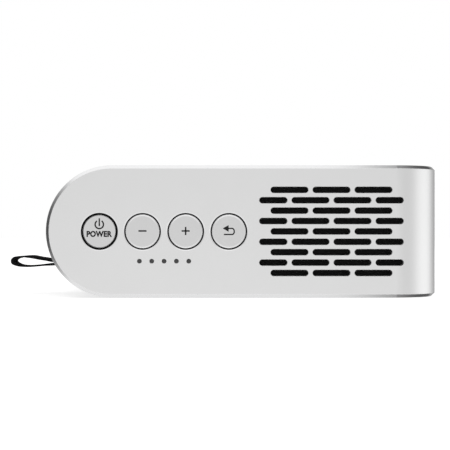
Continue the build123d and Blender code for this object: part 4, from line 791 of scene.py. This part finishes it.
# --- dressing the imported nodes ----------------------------
class Packed:
    """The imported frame: its nodes, their slots and their places."""

    def __init__(self) -> None:
        """Loads the frame and keeps its box."""
        self.nodes: dict[str, bpy.types.Object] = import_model()["nodes"]
        self.first_box = [[float(v) for v in corner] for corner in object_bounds()]

    def box(self, node: str) -> tuple[np.ndarray, np.ndarray]:
        """A node's lowest and highest corners."""
        low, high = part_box(node)
        return np.array(low), np.array(high)

    def centre(self, node: str) -> np.ndarray:
        """The middle of a node's box."""
        low, high = self.box(node)
        return (low + high) / 2

    def dress(self, node: str, finish: Optional[Finish] = None) -> None:
        """Gives a node a finish, or its slot's own where none is given."""
        chosen = finish or Finishes.BY_SLOT[self._slot(node)]
        self.nodes[node].data.materials[0] = chosen.material()
        LOG.info("dressed %s in %s", node, chosen.name)

    def _slot(self, node: str) -> str:
        """The slot of a node that isn't dressed yet."""
        return self.nodes[node].data.materials[0].name.split(".")[0]

    def build(self) -> None:
        """Dresses every node whose slot has a finish."""
        for node in self.nodes:
            if self._slot(node) in Finishes.BY_SLOT:
                self.dress(node)


@dataclass
class Stand:
    """The bent metal stand."""

    packed: Packed

    def build(self) -> None:
        """Dresses the stand; its metal's finish is centred on the pivot, read from the frame's box."""
        low, high = self.packed.box("stand_frame")
        half = float(high[2] - low[2]) / 2
        centre = (float(low[0]) + half, 0.0, float(high[2] + low[2]) / 2)
        self.packed.dress("stand_frame", replace(Finishes.STAND, centre=centre, half_height=half,
                                                 front=float(high[0]) - centre[0]))


@dataclass
class Keypad:
    """Four buttons, their printed legends and the power button's ring. Legends are drawn in millimetres."""

    packed: Packed
    proud: float = 0.02 * MM
    sunk: float = 0.03 * MM
    sign: tuple[float, float] = (1.35, 2.25)
    sign_line: tuple[float, float] = (1.69, 4.25)
    sign_gap: float = 33.0
    word: str = "POWER"
    word_size: tuple[float, float] = (8.27 * MM, 2.0 * MM)
    word_base: float = -1.83 * MM

    def build(self) -> None:
        """Dresses the ring and the buttons, and prints the legends."""
        black, ring = Finishes.BY_SLOT["ring_plastic"], "power_button_ring"
        self.packed.dress(ring, LippedRing("power_ring_lipped", black.colour, black.roughness, black.gloss,
                                           centre=self.packed.centre(ring)))
        for node in ("power_button", "minus_button", "plus_button", "back_button"):
            self.packed.dress(node, ButtonMetal(f"{node}_metal", Finishes.BUTTON, 0.34, edge=0.5 * MM,
                                                centre=self.packed.centre(node),
                                                face=float(self.packed.box(node)[0][1]),
                                                in_ring=node == "power_button"))
        self._power_sign()
        self._word()
        for name, node, start, end in (("minus_legend_1", "minus_button", (-1.32, 0.14), (1.32, 0.14)),
                                       ("plus_legend_1", "plus_button", (-1.32, 0.14), (1.32, 0.14)),
                                       ("plus_legend_2", "plus_button", (0.0, -1.18), (0.0, 1.46))):
            self._print(name, node, np.linspace(start, end, 6), 0.5)
        self._return_sign()

    @staticmethod
    def _fix(piece: bpy.types.Object, node: str) -> None:
        """Makes a printed piece ride on its button."""
        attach(piece, node)
        LOG.info("printed %s", piece.name)

    def _print(self, name: str, node: str, path: np.ndarray, width: float,
               widths: Optional[np.ndarray] = None) -> None:
        """Prints one line on a button: a flat section carried along a path, its side square to the path.

        The path runs along X and Z from the button's centre. widths holds the share of the width at each of
        its points.
        """
        centre, face = self.packed.centre(node), self.packed.box(node)[0][1]
        points = np.insert(path * MM + centre[[0, 2]], 1, face, axis=1)
        up = np.array([0.0, -1.0, 0.0])
        side = np.cross(Surface.directions(points), up)
        section = Outline.stroke(width * MM, self.proud, self.sunk)
        self._fix(Surface.sweep(name, points, side, up, section, Finishes.INK, widths), node)

    def _power_sign(self) -> None:
        """An open circle round an upright line."""
        radius, rise = self.sign
        turn = np.radians(np.linspace(90 + self.sign_gap, 450 - self.sign_gap, 49))
        circle = np.stack([np.cos(turn) * radius, np.sin(turn) * radius + rise], axis=-1)
        self._print("power_sign_circle", "power_button", circle, 0.47)
        line = np.stack([np.zeros(6), np.linspace(*self.sign_line, 6)], axis=-1)
        self._print("power_sign_line_1", "power_button", line, 0.46)

    def _word(self) -> None:
        """The word under the power sign: text made a mesh, then scaled to its size and stood up."""
        curve = bpy.data.curves.new("power_word", "FONT")
        curve.body = self.word
        curve.extrude = 0.5
        curve.offset = 0.05
        curve.resolution_u = 6
        curve.space_character = 1.06
        text = put_in_scene("power_word_text", curve)
        bpy.context.view_layer.update()
        data = bpy.data.meshes.new_from_object(text)
        bpy.data.objects.remove(text)
        points = np.zeros(len(data.vertices) * 3, np.float32)
        data.vertices.foreach_get("co", points)
        flat = points.reshape(-1, 3).astype(float)
        low, high = flat.min(axis=0), flat.max(axis=0)
        share = (flat - low) / (high - low)
        centre, face = self.packed.centre("power_button"), self.packed.box("power_button")[0][1]
        placed = np.stack([centre[0] + (share[:, 0] - 0.5) * self.word_size[0],
                           face + self.sunk - share[:, 2] * (self.sunk + self.proud),
                           centre[2] + self.word_base + share[:, 1] * self.word_size[1]], axis=-1)
        data.vertices.foreach_set("co", placed.astype(np.float32).ravel())
        data.materials.clear()
        data.materials.append(Finishes.INK.material())
        data.update()
        self._fix(put_in_scene("power_word", data), "power_button")

    def _return_sign(self) -> None:
        """A line that comes back in a half circle to an arrow head pointing left."""
        turn = np.radians(np.linspace(-90, 90, 25))
        bend = np.stack([1.05 + np.cos(turn) * 0.72, -0.02 + np.sin(turn) * 0.98], axis=-1)
        lower = np.linspace((-1.6, -1.0), (1.0, -1.0), 8)
        upper = np.linspace((1.0, 0.96), (-0.25, 0.96), 6)
        self._print("back_sign_line", "back_button", np.vstack([lower, bend[1:-1], upper]), 0.43)
        head = np.linspace((-1.96, 0.96), (-0.06, 0.96), 8)
        self._print("back_sign_head", "back_button", head, 2.18, np.linspace(0.02, 1.0, 8))


@dataclass
class PullStrap:
    """The woven loop that pulls the port flap open, as one ribbon whose two ends pass through the flap."""

    packed: Packed
    pivot: tuple[float, float] = (-34.85 * MM, 21.9 * MM)
    middle: float = -45.0 * MM
    width: float = 8.4 * MM
    thickness: float = 0.5 * MM
    root: float = -23.4 * MM
    cup: float = 0.12 * MM
    end_size: tuple[float, float] = (1.0 * MM, 3.3 * MM)
    end_width: float = 9.8 * MM
    end_corner: float = 0.3 * MM
    end_rise: float = -10.35 * MM

    def build(self) -> None:
        """Makes the ribbon and the folded end behind the flap, in place of the node."""
        ribbon = self._ribbon()
        for piece in (ribbon, self._folded_end()):
            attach(piece, "port_flap")
        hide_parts("pull_strap")

    def _line(self) -> np.ndarray:
        """A smooth curve through marks on the loop: X and Z from the pivot, and thickness, in millimetres.

        The ribbon is folded double along its upper side and where it enters the flap. Between two marks the
        curve is the cubic whose slope at each is half the way from the mark before to the mark after.
        """
        marks = np.array([(-15.6, -9.75, 0.85), (-18.6, -9.85, 0.85), (-21.4, -10.17, 0.85),
                          (-22.6, -10.13, 0.9), (-23.6, -9.97, 0.95), (-25.05, -9.65, 1.0),
                          (-26.95, -9.37, 1.0), (-28.35, -9.1, 1.0), (-29.75, -8.83, 1.0),
                          (-31.15, -8.73, 0.85), (-32.45, -8.7, 0.6), (-33.55, -8.79, 0.6),
                          (-34.55, -8.93, 0.75), (-35.35, -9.08, 0.9), (-36.1, -9.45, 1.1),
                          (-36.48, -10.05, 1.2), (-36.35, -10.75, 1.2), (-35.75, -11.2, 1.0),
                          (-34.85, -11.58, 0.8), (-33.85, -11.85, 0.65), (-32.55, -11.98, 0.55),
                          (-31.05, -12.02, 0.55), (-29.45, -11.94, 0.55), (-27.75, -11.8, 0.55),
                          (-25.85, -11.6, 0.6), (-24.25, -11.46, 0.75), (-22.8, -11.38, 0.85),
                          (-20.8, -11.25, 0.85), (-18.2, -11.08, 0.85), (-15.6, -11.05, 0.85)])
        padded = np.vstack([marks[0] * 2 - marks[1], marks, marks[-1] * 2 - marks[-2]])
        share = np.linspace(0, 1, 8, endpoint=False)[None, :, None]
        before, start, end, after = (padded[i:len(padded) - 3 + i][:, None] for i in range(4))
        curve = (2 * start + (end - before) * share
                 + (2 * before - 5 * start + 4 * end - after) * share ** 2
                 + (3 * (start - end) + after - before) * share ** 3) / 2
        return np.vstack([curve.reshape(-1, 3), marks[-1:]])

    def _ribbon(self) -> bpy.types.Object:
        """A flat section with round edges, slightly cupped, carried along the line with its width along Y."""
        line = self._line() * MM
        path = np.insert(line[:, :2] + self.pivot, 1, self.middle, axis=1)
        side = np.array([0.0, 1.0, 0.0])
        across, height = Outline.rounded(self.width, self.thickness, self.thickness * 0.48, 5).T
        cup = self.cup * np.clip((self.root - line[:, :1]) / (2 * MM), 0, 1)
        height = height * (line[:, 2:] / self.thickness) + cup * (1 - (across / (self.width / 2)) ** 2)
        profile = np.stack(np.broadcast_arrays(across, height), axis=-1)
        return Surface.sweep("pull_strap_ribbon", path, side, np.cross(side, Surface.directions(path)),
                             profile, Finishes.RIBBON)

    def _folded_end(self) -> bpy.types.Object:
        """The hem that keeps the ribbon from pulling through: a rounded section carried along Y."""
        x = float(self.packed.box("pull_strap")[1][0]) - self.end_size[0] / 2
        steps = np.linspace(-self.end_width / 2, self.end_width / 2, 9) + self.middle
        path = np.array([(x, y, self.pivot[1] + self.end_rise) for y in steps])
        return Surface.sweep("pull_strap_end", path, np.array([1.0, 0.0, 0.0]), np.array([0.0, 0.0, 1.0]),
                             Outline.rounded(*self.end_size, self.end_corner, 4), Finishes.RIBBON)


@dataclass
class Studio:
    """A plain pale floor, soft light and the camera."""

    eye: tuple[float, float, float] = (1.91 * MM, -453.0 * MM, 21.9 * MM)
    lens: float = 93.76
    shift: float = 0.0142
    aim: tuple[float, float, float] = (0.0, 0.0, 20.0 * MM)
    floor: float = 3.0
    ambient: float = 0.55
    front: float = 0.785
    above: float = 0.99
    below: float = 0.84

    def build(self) -> None:
        """Sets the camera, the world, the lamps and the floor."""
        self._camera()
        self._world()
        self._lamps()
        self._floor()
        bpy.context.scene.view_settings.view_transform = "Standard"

    def _camera(self) -> None:
        """Looks along +Y from the keypad's side."""
        data = bpy.data.cameras.new("camera")
        data.lens = self.lens
        data.shift_y = self.shift
        data.clip_start = 0.01
        data.clip_end = 20.0
        camera = put_in_scene("camera", data)
        camera.location = self.eye
        camera.rotation_euler = (np.pi / 2, 0.0, 0.0)
        bpy.context.scene.camera = camera

    def _world(self) -> None:
        """White to the camera, even to matt surfaces, and a studio for metal.

        The studio is bright in front, brightest above and dark towards both ends along X where it faces
        back, with a broad upright strip at the right.
        """
        world = bpy.data.worlds.new("studio")
        world.use_nodes = True
        bpy.context.scene.world = world
        graph = Graph(world.node_tree)
        x, y, z = graph.coordinates("Generated").parts()
        high = abs(z)
        left = (-1 * x).step(0.62, 1.03) * 0.92
        right = (x.step(0.095, 0.158) * 0.7 + x.step(0.15, 0.7) * 0.23) * high.step(0.26, 0.48)
        right = right * x.step(0.62, 0.76, 1.0, 0.0)
        ends = left.math("MAXIMUM", right) * y.step(-0.2, -0.02)
        middle = abs(x + 0.02).step(0.0, 0.45, 0.2, 0.0) * y.step(-0.85, -0.45, 1.0, 0.0)
        front = (self.front + middle) * z.step(-0.35, 0.35, 1.15, 0.86)
        strip = x.step(0.74, 0.99) * y.step(0.25, 0.65, 1.0, 0.0) * high.step(0.3, 0.5, 1.0, 0.0) * 0.42
        behind = y.step(0.3, 0.85) * high.step(0.3, 0.55, 1.0, 0.0) * 0.5
        above = z.step(0.5, 0.9)
        below = (-1 * z).step(0.5, 0.9)
        around = (front + strip) * (1 - behind) * (1 - above) * (1 - below)
        shown = (around + above * self.above + below * self.below) * (1 - ends)
        white = graph.rays("Camera").math("MAXIMUM", graph.rays("Transmission"))
        glossy = graph.rays("Glossy")
        level = glossy * shown + (1 - glossy) * self.ambient
        strength = white + (1 - white) * level
        surface = graph.node("ShaderNodeBackground", inputs={"Color": (1, 1, 1, 1), "Strength": strength})
        graph.node("ShaderNodeOutputWorld", inputs={"Surface": surface})

    def _lamps(self) -> None:
        """A large soft key above the front, a fill from the right and a lamp behind, aimed at the part."""
        for name, place, size, power in (("key", (-0.25, -0.75, 0.85), 0.7, 3.2),
                                         ("fill", (0.7, -0.5, 0.45), 0.6, 1.0),
                                         ("back", (0.1, 0.8, 0.7), 0.7, 1.6)):
            data = bpy.data.lights.new(name, "AREA")
            data.shape = "SQUARE"
            data.size = size
            data.energy = power
            lamp = put_in_scene(name, data)
            lamp.location = place
            x, y, z = np.array(self.aim) - np.array(place)
            turn = float(np.arccos(-z / np.linalg.norm((x, y, z))))
            lamp.rotation_euler = (turn, 0.0, float(np.arctan2(-x, y)))
            lamp.visible_glossy = False

    def _floor(self) -> None:
        """A wide floor, white where nothing shades it, and clear from below."""
        data = bpy.data.meshes.new("floor")
        corners = [(x * self.floor, y * self.floor, 0) for x, y in ((-1, -1), (1, -1), (1, 1), (-1, 1))]
        data.from_pydata(corners, [], [[0, 1, 2, 3]])
        floor = put_in_scene("floor", data)
        made = bpy.data.materials.new("floor_white")
        made.use_nodes = True
        graph = Graph(made.node_tree)
        glow = graph.node("ShaderNodeEmission",
                          inputs={"Color": (1, 1, 1, 1), "Strength": graph.rays("Camera") * 0.72})
        matt = graph.node("ShaderNodeBsdfDiffuse", inputs={"Color": (0.62, 0.62, 0.62, 1)})
        both = graph.node("ShaderNodeAddShader", inputs={"Shader": glow, "Shader_001": matt})
        from_below = graph.node("ShaderNodeNewGeometry", output="Backfacing")
        clear = graph.node("ShaderNodeBsdfTransparent")
        shown = graph.node("ShaderNodeMixShader",
                           inputs={"Fac": from_below, "Shader": both, "Shader_001": clear})
        graph.node("ShaderNodeOutputMaterial", inputs={"Surface": shown})
        data.materials.append(made)
        floor.visible_glossy = False
        floor.visible_diffuse = False
        floor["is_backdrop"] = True


def main() -> None:
    """Loads the frame and dresses it, adds what it lacks, then the studio."""
    logging.basicConfig(level=logging.INFO, format="%(message)s")
    packed = Packed()
    for part in (packed, Stand(packed), Keypad(packed), PullStrap(packed)):
        part.build()
        LOG.info("built %s", type(part).__name__)
    Studio().build()


if __name__ == "__main__":
    main()
